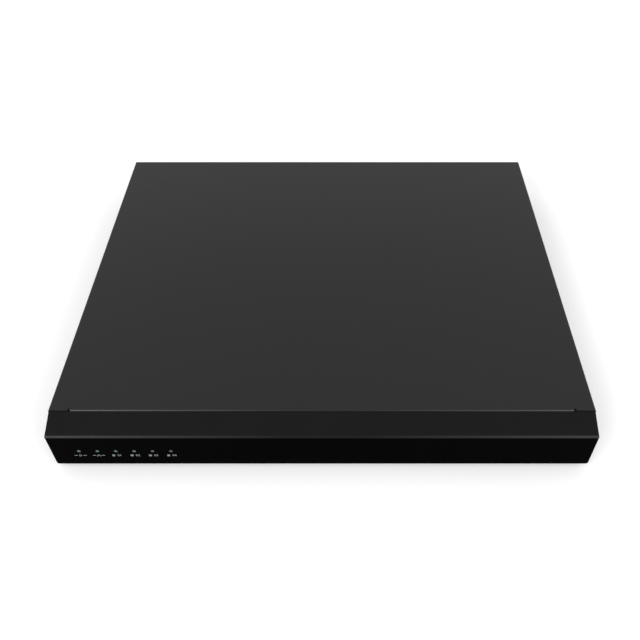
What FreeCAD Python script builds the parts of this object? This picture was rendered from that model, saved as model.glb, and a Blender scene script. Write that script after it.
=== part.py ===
"""One-unit-high video recorder: a steel case, a moulded front bezel and everything it holds.

Millimetres. +Z is up, the front faces -Y, and the origin is at the centre of the
outline, on the surface that the rubber feet stand on.
"""
import FreeCAD
import Part
import math
import os

V = FreeCAD.Vector
AXES = {"x": V(1, 0, 0), "y": V(0, 1, 0), "z": V(0, 0, 1)}

# ---- case -------------------------------------------------------------------
CASE_W = 440.0          # over the cover's skirts
CASE_H = 44.5           # underside of the floor to the top of the cover
COVER_D = 354.0         # front edge to rear edge of the cover
BEZEL_D = 20.4          # how far the bezel stands in front of the cover
SHEET = 1.0             # steel sheet
BEND_R = 1.6            # outside radius of a bend
FIT = 0.2               # gap between pieces that seat on each other
SKIRT_GAP = 0.4         # cover skirt to chassis wall
SKIRT_LIFT = 3.0        # bottom edge of the skirt above the floor's underside
FLANGE = 9.0            # bent edge of a panel
COVER_LIP_H = 8.0       # turned-down front edge of the cover
COVER_LIP_INSET = 17.8  # end of that edge from the cover's side
RELIEF = 2.0            # corner relief slot beside a bend
PLATE_GAP = 0.4         # cover's turned-down edge to the front plate

# ---- bezel and front panel --------------------------------------------------
BEZEL_W = 438.6
BEZEL_WALL = 2.2
BEZEL_SEAM = 0.3        # gap to the cover's front edge
SHOULDER_DROP = 0.8     # back edge of the shoulder below the cover's top
RIDGE_DROP = 8.2        # front ridge below the cover's top
RIDGE_R = 1.5
RIDGE_LIP = 0.8         # depth of the ridge above the front panel
BEZEL_DROP = 1.2        # underside of the bezel below the floor's underside
CORNER_R = 2.0          # lower corners of the front
FASCIA_T = 2.0          # front wall to the front plane
FASCIA_EDGE = 0.2       # chamfer round the front panel's face
FASCIA_GAP = 0.12       # top of the front panel to the ridge
FASCIA_SET = 0.1        # face of the front panel behind that plane
GUIDE_SET = 0.1         # face of a light guide behind the panel's face
BOSS_R = 3.6
LED_COUNT = 6
LEDS_LIT = 4
LED_PITCH = 14.9
LED_FROM_SIDE = 22.4    # first light to the side of the bezel
LED_UP = 17.0           # lights above the floor's underside
GUIDE_R = 1.4
LED_BODY = 2.6
LED_BODY_D = 1.4
LED_BOARD_H = 20.0
LED_BOARD_SET = 7.0     # face of the light board behind the bezel's front wall

# ---- feet and fasteners -----------------------------------------------------
FOOT_H = 6.0
FOOT_R = 9.0
FOOT_INSET_X = 38.0
FOOT_INSET_Y = 34.0
SCREW_R = 1.5           # case and board screws
SCREW_HEAD_R = 2.9
SCREW_HEAD_H = 1.8
THREAD_GAP = 0.06       # screw to its own thread
RUN_GAP = 0.05          # turning fit
HOLE_GAP = 0.35         # screw to a clearance hole
EAR_R = 2.3             # rack ear holes
EAR_SPAN_Y = 19.0
EAR_SPAN_Z = 20.0
EAR_FROM_FRONT = 28.0
BAR_R = 1.7             # drive screw

# ---- drives -----------------------------------------------------------------
DRIVE_W = 101.6
DRIVE_L = 147.0
DRIVE_H = 26.1
DRIVE_GAP = 5.0
DRIVE_FROM_PLATE = 13.0
BAYS = 4
DRIVE_HOLE_X = 47.63    # bottom screw holes, from the drive's middle
DRIVE_HOLE_Y = (41.3, 85.7)   # and from its rear end
GROMMET_R = 5.5
GROMMET_NECK = 3.6
GROMMET_BORE = 2.3
GROMMET_T = 2.4
GROMMET_UNDER = 1.0
DATA_PLUG_X = 24.0      # data connector from the drive's middle
POWER_PLUG_X = -2.0     # power connector from the drive's middle
DATA_W = 10.0
POWER_W = 20.0
PORT_UP = 6.0           # connector's middle above the drive's underside

# ---- main board -------------------------------------------------------------
BOARD_W = 331.0
BOARD_D = 140.0
BOARD_T = 1.6
STANDOFF_H = 6.0
STANDOFF_R = 3.0
BOARD_SIDE = 2.6        # board edge from the chassis wall
BOARD_BACK = 1.5        # board edge from the rear panel
BOARD_HOLE_IN = 5.0

# ---- rear connectors --------------------------------------------------------
BNC_OUT = 11.5          # how far a jack stands behind the case
SHELL_OUT = 0.4         # how far the mouth of a folded metal socket stands behind it
BNC_COLS = 8
BNC_PITCH = 16.0
BNC_ROWS = (8.0, 23.2)  # jack axes above the board
BNC_SHELL_R = 4.8
BNC_BORE_R = 4.1
BNC_RING_R = 6.4
BNC_BLOCK_D = 17.0
BNC_BLOCK_GAP = 1.6     # between neighbouring blocks
BNC_BLOCK_WALL = 2.2
BNC_FIRST = 14.5        # first column from the chassis wall
PORT_GAP = 0.3          # opening round a connector
FAN_SIZE = 40.0
FAN_T = 15.0
FAN_GAP = 0.3           # fan housing to the rear panel
FAN_HOLE_IN = 4.0       # screw holes from the housing's sides
FAN_WALL = 1.1          # thinnest wall round the air duct
FAN_TIP_GAP = 0.7       # blade tips to the duct
FAN_HUB_R = 10.5
FAN_STUB_R = 3.0        # bearing tube that the rotor turns on
FAN_BLADES = 7
FAN_FROM_SIDE = 3.0     # first housing to the chassis wall
FAN_SPACE = 5.0         # between the housings
GRILLE_INSET = 1.3      # edge of the panel's holes inside the duct
GRILLE_HOLE = 1.7
GRILLE_PITCH = 4.3
SWITCH_W = 13.0
SWITCH_H = 19.0
ROCKER_TILT = 11.0
TERMINALS = 8
TERMINAL_PITCH = 3.81
PLUG_OUT = 8.0

# ---- planes and places that follow from the sizes ---------------------------
DEPTH = BEZEL_D + COVER_D + BNC_OUT
Y_FRONT = -DEPTH / 2
Y_COVER = Y_FRONT + BEZEL_D
Y_REAR = Y_COVER + COVER_D
Y_PANEL = Y_REAR - SHEET                 # inner face of the rear panel
Y_PLATE = Y_COVER + SHEET + PLATE_GAP    # outer face of the front plate
Z_BASE = FOOT_H
Z_FLOOR = Z_BASE + SHEET
Z_TOP = Z_BASE + CASE_H
Z_UNDER = Z_TOP - SHEET
HALF_W = CASE_W / 2
WALL_X = HALF_W - SHEET - SKIRT_GAP      # outer face of the chassis wall
INNER_X = WALL_X - SHEET
Y_LIGHTS = Y_FRONT + FASCIA_T + BEZEL_WALL + LED_BOARD_SET
Z_LIGHTS = Z_BASE + LED_UP
X_LIGHTS = [-BEZEL_W / 2 + LED_FROM_SIDE + i * LED_PITCH for i in range(LED_COUNT)]
Z_DRIVE = Z_FLOOR + GROMMET_T
Y_DRIVE = Y_PLATE + SHEET + DRIVE_FROM_PLATE
Y_DRIVE_REAR = Y_DRIVE + DRIVE_L
X_BAYS = [(1.5 - i) * (DRIVE_W + DRIVE_GAP) for i in range(BAYS)]
FITTED = X_BAYS[:2]                      # the bays that hold a drive
Z_BOARD = Z_FLOOR + STANDOFF_H
Z_PARTS = Z_BOARD + BOARD_T
X_BOARD1 = INNER_X - BOARD_SIDE
X_BOARD0 = X_BOARD1 - BOARD_W
Y_BOARD1 = Y_PANEL - BOARD_BACK
Y_BOARD0 = Y_BOARD1 - BOARD_D
X_BNC = [INNER_X - BNC_FIRST - i * BNC_PITCH for i in range(BNC_COLS)]
Z_MID = Z_BASE + CASE_H / 2
FAN_HOLE = FAN_SIZE / 2 - FAN_HOLE_IN
FAN_DUCT_R = FAN_SIZE / 2 - FAN_WALL
FAN_BLADE_R = FAN_DUCT_R - FAN_TIP_GAP
GRILLE_R = FAN_DUCT_R - GRILLE_INSET
X_FANS = [-INNER_X + FAN_FROM_SIDE + FAN_SIZE / 2 + i * (FAN_SIZE + FAN_SPACE) for i in range(2)]

# Rear connectors, each a distance in from the last jack column.
X_AUDIO = X_BNC[-1] - 16.0
X_VGA = X_AUDIO - 24.5
X_HDMI = X_VGA - 27.0
X_USB = X_HDMI - 19.0
X_LAN = X_USB - 19.0
X_ESATA = X_LAN - 18.0
X_TERMINAL = X_ESATA - 27.0
X_POWER = X_TERMINAL - 26.0
X_SWITCH = X_POWER - 15.5


# ---- solid helpers ----------------------------------------------------------
def box(x0, x1, y0, y1, z0, z1):
    return Part.makeBox(x1 - x0, y1 - y0, z1 - z0, V(x0, y0, z0))


def block(x, y0, y1, z, w, h):
    """A box centred on x and z, w wide and h high, from y0 to y1."""
    return box(x - w / 2, x + w / 2, y0, y1, z - h / 2, z + h / 2)


def rod(r, length, x, y, z, axis="z"):
    return Part.makeCylinder(r, length, V(x, y, z), AXES[axis])


def ring(outer, inner, length, x, y, z, axis="z"):
    return rod(outer, length, x, y, z, axis).cut(rod(inner, length, x, y, z, axis))


def edges_along(shape, axis, test=lambda p: True):
    """Straight edges parallel to an axis whose middle point passes the test."""
    found = []
    for edge in shape.Edges:
        if not isinstance(edge.Curve, Part.Line):
            continue
        way = edge.Vertexes[-1].Point - edge.Vertexes[0].Point
        if way.Length > 0 and abs(abs(way.normalize().dot(AXES[axis])) - 1) < 1e-6:
            middle = edge.valueAt((edge.FirstParameter + edge.LastParameter) / 2)
            if test(middle):
                found.append(edge)
    return found


def round_edges(shape, r, axis, test=lambda p: True):
    return shape.makeFillet(r, edges_along(shape, axis, test))


def slot(r, length, depth, x, y, z, along, through):
    """A round-ended slot, cut or filled: length overall, depth along through."""
    shift = AXES[along] * (length / 2 - r)
    centre = V(x, y, z)
    side = {"x", "y", "z"}.difference({along, through}).pop()
    low = centre - shift - AXES[side] * r
    size = shift * 2 + AXES[side] * 2 * r + AXES[through] * depth
    body = Part.makeBox(size.x, size.y, size.z, low)
    for end in (centre - shift, centre + shift):
        body = body.fuse(Part.makeCylinder(r, depth, end, AXES[through]))
    return body.removeSplitter()


def prism_x(points, x0, x1):
    """A solid from points in the YZ plane, drawn out along X."""
    wire = Part.makePolygon([V(x0, y, z) for y, z in points + points[:1]])
    return Part.Face(wire).extrude(V(x1 - x0, 0, 0))


def prism_y(points, y0, y1):
    """A solid from points in the XZ plane, drawn out along Y."""
    wire = Part.makePolygon([V(x, y0, z) for x, z in points + points[:1]])
    return Part.Face(wire).extrude(V(0, y1 - y0, 0))


def turned(points, x, y, z, axis="y"):
    """A solid of revolution from (along, radius) points about an axis."""
    wire = Part.makePolygon([V(r, 0, a) for a, r in points + points[:1]])
    shape = Part.Face(wire).revolve(V(0, 0, 0), V(0, 0, 1), 360)
    turn = FreeCAD.Rotation(V(0, 0, 1), AXES[axis])
    shape.Placement = FreeCAD.Placement(V(x, y, z), turn)
    return shape


def group(shapes):
    return Part.makeCompound(list(shapes))


def cut_all(shape, tools):
    tools = list(tools)
    return shape.cut(Part.makeCompound(tools)) if tools else shape


def screw(x, y, z, axis, sign, length, shank=SCREW_R, head=SCREW_HEAD_R, deep=SCREW_HEAD_H):
    """A cross-head screw. The point is under its head, and sign is the way it goes in."""
    shape = turned([(0, 0), (0, head), (-deep * 0.45, head), (-deep, head * 0.55), (-deep, 0)],
                   0, 0, 0, "z")
    shape = shape.fuse(rod(shank, length, 0, 0, 0))
    arm, wide = head * 0.95, head * 0.28
    for w, d in ((arm, wide), (wide, arm)):
        shape = shape.cut(box(-w / 2, w / 2, -d / 2, d / 2, -deep - 1, -deep * 0.35))
    turn = FreeCAD.Rotation(V(0, 0, 1), AXES[axis] * sign)
    shape.Placement = FreeCAD.Placement(V(x, y, z), turn)
    return shape


# ---- wires ------------------------------------------------------------------
def rounded_path(points):
    """Straight runs joined by arcs as large as the shorter run beside each allows."""
    points = [V(*p) for p in points]
    edges = []
    radii = []
    start = points[0]
    for before, corner, after in zip(points, points[1:], points[2:]):
        way_in = (corner - before).normalize()
        way_out = (after - corner).normalize()
        turn = way_in.getAngle(way_out)
        back = 0.45 * min((corner - before).Length, (after - corner).Length)
        radius = back / math.tan(turn / 2)
        first = corner - way_in * back
        last = corner + way_out * back
        inward = (way_out - way_in).normalize()
        middle = corner + inward * (radius / math.cos(turn / 2) - radius)
        edges.append(Part.makeLine(start, first))
        edges.append(Part.Arc(first, middle, last).toShape())
        radii.append(radius)
        start = last
    edges.append(Part.makeLine(start, points[-1]))
    return Part.Wire(edges), radii


def wire(points, r, name):
    """A round wire along its route, with its tightest bend printed."""
    path, radii = rounded_path(points)
    first = path.Edges[0]
    normal = first.tangentAt(first.FirstParameter)
    circle = Part.Wire([Part.makeCircle(r, V(*points[0]), normal)])
    solid = path.makePipeShell([circle], True, True)
    share = solid.Volume / (math.pi * r * r * path.Length)
    print(f"{name}: length {path.Length:.0f}, radii {[round(x, 1) for x in radii]}, "
          f"volume share {share:.3f}")
    return solid


def ribbon(points, w, t, across, name):
    """A flat cable along a flat route: w wide along the across axis, and t thick."""
    path, radii = rounded_path(points)
    first = path.Edges[0]
    tangent = first.tangentAt(first.FirstParameter)
    side = AXES[across]
    thick = tangent.cross(side).normalize()
    start = V(*points[0])
    corners = [start + side * (a * w / 2) + thick * (b * t / 2)
               for a, b in ((1, 1), (1, -1), (-1, -1), (-1, 1), (1, 1))]
    solid = path.makePipeShell([Part.makePolygon(corners)], True, True)
    share = solid.Volume / (w * t * path.Length)
    print(f"{name}: length {path.Length:.0f}, radii {[round(x, 1) for x in radii]}, "
          f"volume share {share:.3f}")
    return solid


# ---- steel case -------------------------------------------------------------
VENT_R = 1.3
VENT_L = 16.0
VENT_PITCH = 6.0
VENT_COUNT = 17
Y_VENTS = (Y_DRIVE + DRIVE_L / 2, (Y_BOARD0 + Y_BOARD1) / 2)
Z_COVER_SCREW = Z_BASE + 11.0
Z_EARS = (Z_MID - EAR_SPAN_Z / 2, Z_MID + EAR_SPAN_Z / 2)
Y_EARS = (Y_COVER + EAR_FROM_FRONT - EAR_SPAN_Y / 2, Y_COVER + EAR_FROM_FRONT + EAR_SPAN_Y / 2)
Y_COVER_SCREWS = (Y_EARS[1] + 18.0, Y_DRIVE_REAR + 22.0, Y_PANEL - FAN_GAP - FAN_T - 8.0)
SKIRT_HOLES = [(y, z) for y in Y_EARS for z in Z_EARS]


def side_vents():
    """Upright slots through both sides, beside the drives and beside the board."""
    tools = []
    for middle in Y_VENTS:
        for i in range(VENT_COUNT):
            y = middle + (i - (VENT_COUNT - 1) / 2) * VENT_PITCH
            tools.append(slot(VENT_R, VENT_L, CASE_W, -HALF_W, y, Z_MID + 3, "z", "x"))
    return tools


def floor_vents():
    """Lengthways slots in the floor under the main board."""
    tools = []
    for row in range(2):
        y = Y_BOARD0 + BOARD_D * (0.36 + 0.34 * row)
        for i in range(22):
            x = X_BOARD0 + 62 + i * 9.0
            tools.append(slot(1.5, 26.0, 4 * SHEET, x, y, Z_BASE - SHEET, "y", "z"))
    return tools


def feet_places():
    x = HALF_W - FOOT_INSET_X
    return [(sx * x, y) for sx in (-1, 1)
            for y in (Y_COVER + FOOT_INSET_Y, Y_REAR - FOOT_INSET_Y)]


def drive_holes(bays):
    return [(x + side * DRIVE_HOLE_X, Y_DRIVE_REAR - back)
            for x in bays for side in (-1, 1) for back in DRIVE_HOLE_Y]


def front_flange_screws():
    return [(x, Y_PLATE + 5.5) for x in (-INNER_X + 26.0, -INNER_X / 3, INNER_X / 3, INNER_X - 26.0)]


def rear_flange_screws():
    between_fans = sum(X_FANS) / 2
    return [(x, Y_REAR - 5.5) for x in (between_fans, -INNER_X / 3, INNER_X / 3, INNER_X - 26.0)]


def chassis_base():
    wall_top = Z_UNDER - 0.8
    outer = box(-WALL_X, WALL_X, Y_COVER, Y_REAR, Z_BASE, wall_top)
    outer = round_edges(outer, BEND_R, "y", lambda p: p.z < Z_BASE + 0.1)
    inner = box(-INNER_X, INNER_X, Y_COVER - 5, Y_REAR + 5, Z_FLOOR, wall_top + 5)
    inner = round_edges(inner, BEND_R - SHEET, "y", lambda p: p.z < Z_FLOOR + 0.1)
    tools = side_vents() + floor_vents()
    for x, y in feet_places():
        tools.append(rod(SCREW_R + THREAD_GAP, 9, x, y, Z_BASE - 4))
    for x, y in drive_holes(X_BAYS):
        tools.append(rod(GROMMET_NECK + 0.05, 9, x, y, Z_BASE - 4))
    for x, y in front_flange_screws() + rear_flange_screws():
        tools.append(rod(SCREW_R + HOLE_GAP, 9, x, y, Z_BASE - 4))
    for y in Y_COVER_SCREWS:
        tools.append(rod(SCREW_R + THREAD_GAP, CASE_W, -HALF_W, y, Z_COVER_SCREW, "x"))
    for y, z in SKIRT_HOLES:
        tools.append(rod(EAR_R - 0.3, CASE_W, -HALF_W, y, z, "x"))
    return cut_all(outer.cut(inner), tools)


def channel(y_face, forward):
    """A panel across the case with its top and bottom edges bent away from its face.

    forward is 1 when the face looks forward and the edges point to the rear, and -1
    when it is the other way round.
    """
    half = INNER_X - (BEND_R - SHEET) - FIT
    low = Z_FLOOR
    high = Z_UNDER - FIT / 2
    y_edge = y_face + forward * FLANGE
    outer = box(-half, half, min(y_face, y_edge), max(y_face, y_edge), low, high)
    outer = round_edges(outer, BEND_R, "x", lambda p: abs(p.y - y_face) < 0.1)
    y_inner = y_face + forward * SHEET
    y_open = y_edge + forward * SHEET
    inner = box(-half - 1, half + 1, min(y_inner, y_open), max(y_inner, y_open),
                low + SHEET, high - SHEET)
    inner = round_edges(inner, BEND_R - SHEET, "x", lambda p: abs(p.y - y_inner) < 0.1)
    return outer.cut(inner)


X_BOSSES = (-BEZEL_W / 2 + 12.0, -BEZEL_W / 6, BEZEL_W / 6, BEZEL_W / 2 - 12.0)
Z_BOSSES = Z_BASE + CASE_H / 2 + 4.0
X_WINDOW = X_LIGHTS[-1] + 8.0            # where the light board's cable leaves
RIBBON_W = 9.0
RIBBON_T = 0.9
RIBBON_SWAY = 0.8
X_RIBBON = (X_BAYS[2] + X_BAYS[3]) / 2   # it runs between two bays
X_RIBBON_END = X_BOARD0 + 9.4            # and ends on the main board


def front_plate():
    plate = channel(Y_PLATE, 1)
    tools = [rod(SCREW_R + HOLE_GAP, 3 * SHEET, x, Y_PLATE - SHEET, Z_BOSSES, "y") for x in X_BOSSES]
    tools.append(slot(9.0, 34.0, 3 * SHEET, X_WINDOW, Y_PLATE - SHEET, Z_BASE + 16.0, "x", "y"))
    for x in (BEZEL_W / 12, BEZEL_W / 3.4):
        tools.append(slot(6.0, 60.0, 3 * SHEET, x, Y_PLATE - SHEET, Z_BASE + 14.0, "x", "y"))
    for x, y in front_flange_screws():
        tools.append(rod(SCREW_R + THREAD_GAP, 2 * SHEET, x, y, Z_FLOOR - 0.5))
    return cut_all(plate, tools)


def bnc_places():
    return [(x, Z_PARTS + up) for x in X_BNC for up in BNC_ROWS]


def audio_places():
    return [(X_AUDIO, Z_PARTS + up) for up in BNC_ROWS]


Z_VGA = Z_PARTS + 8.0
Z_HDMI = Z_PARTS + 3.8
Z_USB = Z_PARTS + 8.2
Z_LAN = Z_PARTS + 7.2
Z_ESATA = Z_PARTS + 3.6
Z_TERMINAL = Z_PARTS + 5.2
Z_POWER = Z_PARTS + 5.8
VGA_W, VGA_H = 30.8, 12.5
HDMI_W, HDMI_H = 15.0, 6.2
USB_W, USB_H = 14.4, 15.6
LAN_W, LAN_H = 16.0, 13.6
ESATA_W, ESATA_H = 12.6, 6.0
JACK_R = 4.4
JACK_W, JACK_H = 10.0, 11.2
TERMINAL_W = TERMINALS * TERMINAL_PITCH + 4.0
TERMINAL_H = 9.4
GROUND_AT = (X_POWER, Z_MID + 14.0)


def grille_holes(x):
    """A round field of holes on a hexagonal grid, behind one fan."""
    found = []
    rows = int(GRILLE_R / (GRILLE_PITCH * 0.866)) + 1
    for row in range(-rows, rows + 1):
        shift = 0.5 * (row % 2)
        for col in range(-rows - 1, rows + 1):
            dx = (col + shift) * GRILLE_PITCH
            dz = row * GRILLE_PITCH * 0.866
            if math.hypot(dx, dz) + GRILLE_HOLE <= GRILLE_R:
                found.append((x + dx, Z_MID + dz))
    return found


def fan_holes(x):
    return [(x + a * FAN_HOLE, Z_MID + b * FAN_HOLE) for a in (-1, 1) for b in (-1, 1)]


def rear_panel():
    panel = channel(Y_REAR, -1)
    y0 = Y_PANEL - SHEET
    deep = 3 * SHEET
    tools = [rod(BNC_SHELL_R + 0.5, deep, x, y0, z, "y") for x, z in bnc_places()]
    tools += [rod(BNC_SHELL_R, deep, x, y0, z, "y") for x, z in audio_places()]
    for x, z, w, h in ((X_VGA, Z_VGA, 18.6, 9.8), (X_HDMI, Z_HDMI, HDMI_W, HDMI_H),
                       (X_USB, Z_USB, USB_W, USB_H), (X_LAN, Z_LAN, LAN_W, LAN_H),
                       (X_ESATA, Z_ESATA, ESATA_W, ESATA_H),
                       (X_TERMINAL, Z_TERMINAL, TERMINAL_W, TERMINAL_H)):
        tools.append(block(x, y0, y0 + deep, z, w + 2 * PORT_GAP, h + 2 * PORT_GAP))
    for side in (-1, 1):
        tools.append(rod(1.9, deep, X_VGA + side * 12.5, y0, Z_VGA, "y"))
    tools.append(rod(JACK_R, deep, X_POWER, y0, Z_POWER, "y"))
    tools.append(block(X_SWITCH, y0, y0 + deep, Z_MID, SWITCH_W + 2 * FIT, SWITCH_H + 2 * FIT))
    tools.append(rod(2.0 + THREAD_GAP, deep, GROUND_AT[0], y0, GROUND_AT[1], "y"))
    for fan_x in X_FANS:
        tools += [rod(GRILLE_HOLE, deep, x, y0, z, "y") for x, z in grille_holes(fan_x)]
        tools += [rod(SCREW_R + HOLE_GAP, deep, x, y0, z, "y") for x, z in fan_holes(fan_x)]
    for x, y in rear_flange_screws():
        tools.append(rod(SCREW_R + THREAD_GAP, 2 * SHEET, x, y, Z_FLOOR - 0.5))
    # The bent edges stop on each side of a fan, which takes the full height inside the case.
    wide = FAN_SIZE / 2 + FIT
    for x0, x1 in ((-INNER_X, X_FANS[0] + wide), (X_FANS[1] - wide, X_FANS[1] + wide)):
        tools.append(box(x0, x1, Y_REAR - FLANGE - SHEET, Y_PANEL, Z_FLOOR - SHEET, Z_UNDER))
    return cut_all(panel, tools)


def top_cover():
    skirt_z = Z_BASE + SKIRT_LIFT
    outer = box(-HALF_W, HALF_W, Y_COVER, Y_REAR, skirt_z, Z_TOP)
    outer = round_edges(outer, BEND_R, "y", lambda p: p.z > Z_TOP - 0.1)
    hollow = HALF_W - SHEET
    inner = box(-hollow, hollow, Y_COVER - 5, Y_REAR + 5, skirt_z - 5, Z_UNDER)
    inner = round_edges(inner, BEND_R - SHEET, "y", lambda p: p.z > Z_UNDER - 0.1)
    cover = outer.cut(inner)
    lip = HALF_W - COVER_LIP_INSET
    cover = cover.fuse(box(-lip, lip, Y_COVER, Y_COVER + SHEET, Z_TOP - COVER_LIP_H, Z_TOP))
    cover = cover.removeSplitter()
    for side in (-1, 1):
        edge = side * (lip + RELIEF / 2)
        cover = cover.cut(box(edge - RELIEF / 2, edge + RELIEF / 2, Y_COVER - 1, Y_COVER + RELIEF,
                              Z_TOP - COVER_LIP_H - 1, Z_TOP + 1))
    cover = round_edges(cover, BEND_R, "x", lambda p: p.z > Z_TOP - 0.1 and p.y < Y_COVER + 0.1
                        and abs(p.x) < lip)
    tools = side_vents()
    for y in Y_COVER_SCREWS:
        wide = SCREW_R + HOLE_GAP
        tools.append(rod(wide, CASE_W, -HALF_W, y, Z_COVER_SCREW, "x"))
        tools.append(box(-HALF_W, HALF_W, y - wide, y + wide, skirt_z - 1, Z_COVER_SCREW))
    for y, z in SKIRT_HOLES:
        tools.append(rod(EAR_R, CASE_W, -HALF_W, y, z, "x"))
    return cut_all(cover, tools)


# ---- moulded front ----------------------------------------------------------
def shoulder_z(y):
    """Height of the sloping shoulder at y."""
    span = BEZEL_D - BEZEL_SEAM
    share = (y - Y_FRONT) / span
    return Z_TOP - RIDGE_DROP + share * (RIDGE_DROP - SHOULDER_DROP)


Z_FASCIA = Z_TOP - RIDGE_DROP - RIDGE_LIP
Z_UNDER_BEZEL = Z_BASE - BEZEL_DROP


def front_bezel():
    half = BEZEL_W / 2
    back = Y_COVER - BEZEL_SEAM
    outline = [(back, shoulder_z(back)), (Y_FRONT, shoulder_z(Y_FRONT)),
               (Y_FRONT, Z_UNDER_BEZEL), (back, Z_UNDER_BEZEL)]
    body = prism_x(outline, -half, half)
    body = round_edges(body, RIDGE_R, "x", lambda p: p.y < Y_FRONT + 0.1 and p.z > Z_MID)
    body = round_edges(body, CORNER_R, "y", lambda p: p.z < Z_UNDER_BEZEL + 0.1)
    wall = Y_FRONT + FASCIA_T + BEZEL_WALL
    drop = BEZEL_WALL * math.hypot(1, (RIDGE_DROP - SHOULDER_DROP) / BEZEL_D)
    hollow = [(back + 5, shoulder_z(back + 5) - drop), (wall, shoulder_z(wall) - drop),
              (wall, Z_UNDER_BEZEL + BEZEL_WALL), (back + 5, Z_UNDER_BEZEL + BEZEL_WALL)]
    body = body.cut(prism_x(hollow, -half + BEZEL_WALL, half - BEZEL_WALL))
    body = body.cut(box(-half - 1, half + 1, Y_FRONT - 1, Y_FRONT + FASCIA_T, Z_UNDER_BEZEL - 1, Z_FASCIA))
    for x in X_BOSSES:
        body = body.fuse(rod(BOSS_R, Y_PLATE - wall + 0.5, x, wall - 0.5, Z_BOSSES, "y"))
    for x in light_board_screws():
        body = body.fuse(rod(2.6, Y_LIGHTS - wall + 0.5, x, wall - 0.5, Z_LIGHTS + 6.0, "y"))
    tools = [rod(SCREW_R + THREAD_GAP, 9.0, x, Y_PLATE - 8.0, Z_BOSSES, "y") for x in X_BOSSES]
    tools += [rod(SCREW_R + THREAD_GAP, 6.0, x, Y_LIGHTS - 5.5, Z_LIGHTS + 6.0, "y")
              for x in light_board_screws()]
    tools += [rod(GUIDE_R + 0.08, 9.0, x, Y_FRONT, Z_LIGHTS, "y") for x in X_LIGHTS]
    return cut_all(body, tools)


def fascia_panel():
    half = BEZEL_W / 2
    face = Y_FRONT + FASCIA_SET
    panel = box(-half, half, face, Y_FRONT + FASCIA_T, Z_UNDER_BEZEL, Z_FASCIA - FASCIA_GAP)
    panel = round_edges(panel, CORNER_R, "y", lambda p: p.z < Z_UNDER_BEZEL + 0.1)
    front = [e for e in panel.Edges if all(v.Point.y < face + 0.1 for v in e.Vertexes)]
    panel = panel.makeChamfer(FASCIA_EDGE, front)
    return cut_all(panel, [rod(GUIDE_R + 0.08, 3 * FASCIA_T, x, Y_FRONT - FASCIA_T, Z_LIGHTS, "y")
                           for x in X_LIGHTS])


def light_board_screws():
    return (X_LIGHTS[0] + LED_PITCH / 2, X_LIGHTS[-1] - LED_PITCH / 2)


def light_guides():
    shapes = []
    end = Y_LIGHTS - LED_BODY_D - 0.15
    for x in X_LIGHTS:
        start = Y_FRONT + FASCIA_SET + GUIDE_SET
        guide = rod(GUIDE_R, end - start, x, start, Z_LIGHTS, "y")
        collar = Y_FRONT + FASCIA_T + BEZEL_WALL
        guide = guide.fuse(rod(GUIDE_R + 0.8, 1.0, x, collar, Z_LIGHTS, "y"))
        shapes.append(guide)
    return group(shapes)


def indicator_lamps(which):
    return group(block(x, Y_LIGHTS - LED_BODY_D, Y_LIGHTS, Z_LIGHTS, LED_BODY, LED_BODY)
                 for x in which)


def light_board():
    x0 = X_LIGHTS[0] - 6.0
    x1 = X_WINDOW + 5.0
    z0 = Z_LIGHTS - LED_BOARD_H / 2
    board = box(x0, x1, Y_LIGHTS, Y_LIGHTS + BOARD_T, z0, z0 + LED_BOARD_H)
    return cut_all(board, [rod(SCREW_R + HOLE_GAP, 9, x, Y_LIGHTS - 4, Z_LIGHTS + 6.0, "y")
                           for x in light_board_screws()])


def ribbon_headers():
    """White sockets at the two ends of the light board's cable."""
    y = Y_LIGHTS + BOARD_T
    first = block(X_WINDOW, y, y + 4.0, Z_LIGHTS - 2.0, 4.0, RIBBON_W + 3)
    second = box(X_RIBBON_END - 2.5, X_RIBBON_END + 2.5, Y_BOARD0 + 2.0, Y_BOARD0 + 8.0,
                 Z_PARTS, Z_PARTS + RIBBON_W + 3)
    return group([first, second])


def light_ribbon():
    z = Z_PARTS + RIBBON_W / 2 + 1.0
    y0 = Y_LIGHTS + BOARD_T + 4.0
    y1 = Y_BOARD0 + 2.0
    start = Y_DRIVE + 8.0
    end = Y_DRIVE_REAR - 8.0
    route = [(X_WINDOW, y0, z), (X_WINDOW, y0 + 10.0, z), (X_RIBBON - RIBBON_SWAY, start, z)]
    for i in range(1, 4):
        route.append((X_RIBBON - RIBBON_SWAY * (-1) ** i, start + (end - start) * i / 4, z))
    last = X_RIBBON_END + 0.4
    route += [(X_RIBBON - RIBBON_SWAY, end, z), (last, y1 - 12.0, z), (last, y1, z)]
    return ribbon(route, RIBBON_W, RIBBON_T, "z", "light_ribbon")


# ---- feet and screws --------------------------------------------------------
def rubber_feet():
    shapes = []
    for x, y in feet_places():
        foot = turned([(0, 0), (0, FOOT_R - 1.2), (FOOT_H * 0.2, FOOT_R), (FOOT_H, FOOT_R),
                       (FOOT_H, 0)], x, y, 0, "z")
        foot = foot.cut(rod(SCREW_HEAD_R + 0.6, FOOT_H * 0.6, x, y, 0))
        foot = foot.cut(rod(SCREW_R + HOLE_GAP, FOOT_H, x, y, 0))
        shapes.append(foot)
    return group(shapes)


def foot_screws():
    return group(screw(x, y, FOOT_H * 0.6, "z", 1, FOOT_H * 0.4 + 3.0) for x, y in feet_places())


def cover_screws():
    shapes = []
    for side in (-1, 1):
        for y in Y_COVER_SCREWS:
            shapes.append(screw(side * (HALF_W + 0.05), y, Z_COVER_SCREW, "x", -side, 6.0))
    return group(shapes)


def flange_screws():
    """Screws that hold the front plate and the rear panel down to the floor."""
    places = front_flange_screws() + rear_flange_screws()
    return group(screw(x, y, Z_BASE, "z", 1, 4.0) for x, y in places)


def bezel_screws():
    return group(screw(x, Y_PLATE + SHEET, Z_BOSSES, "y", -1, 7.0) for x in X_BOSSES)


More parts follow.
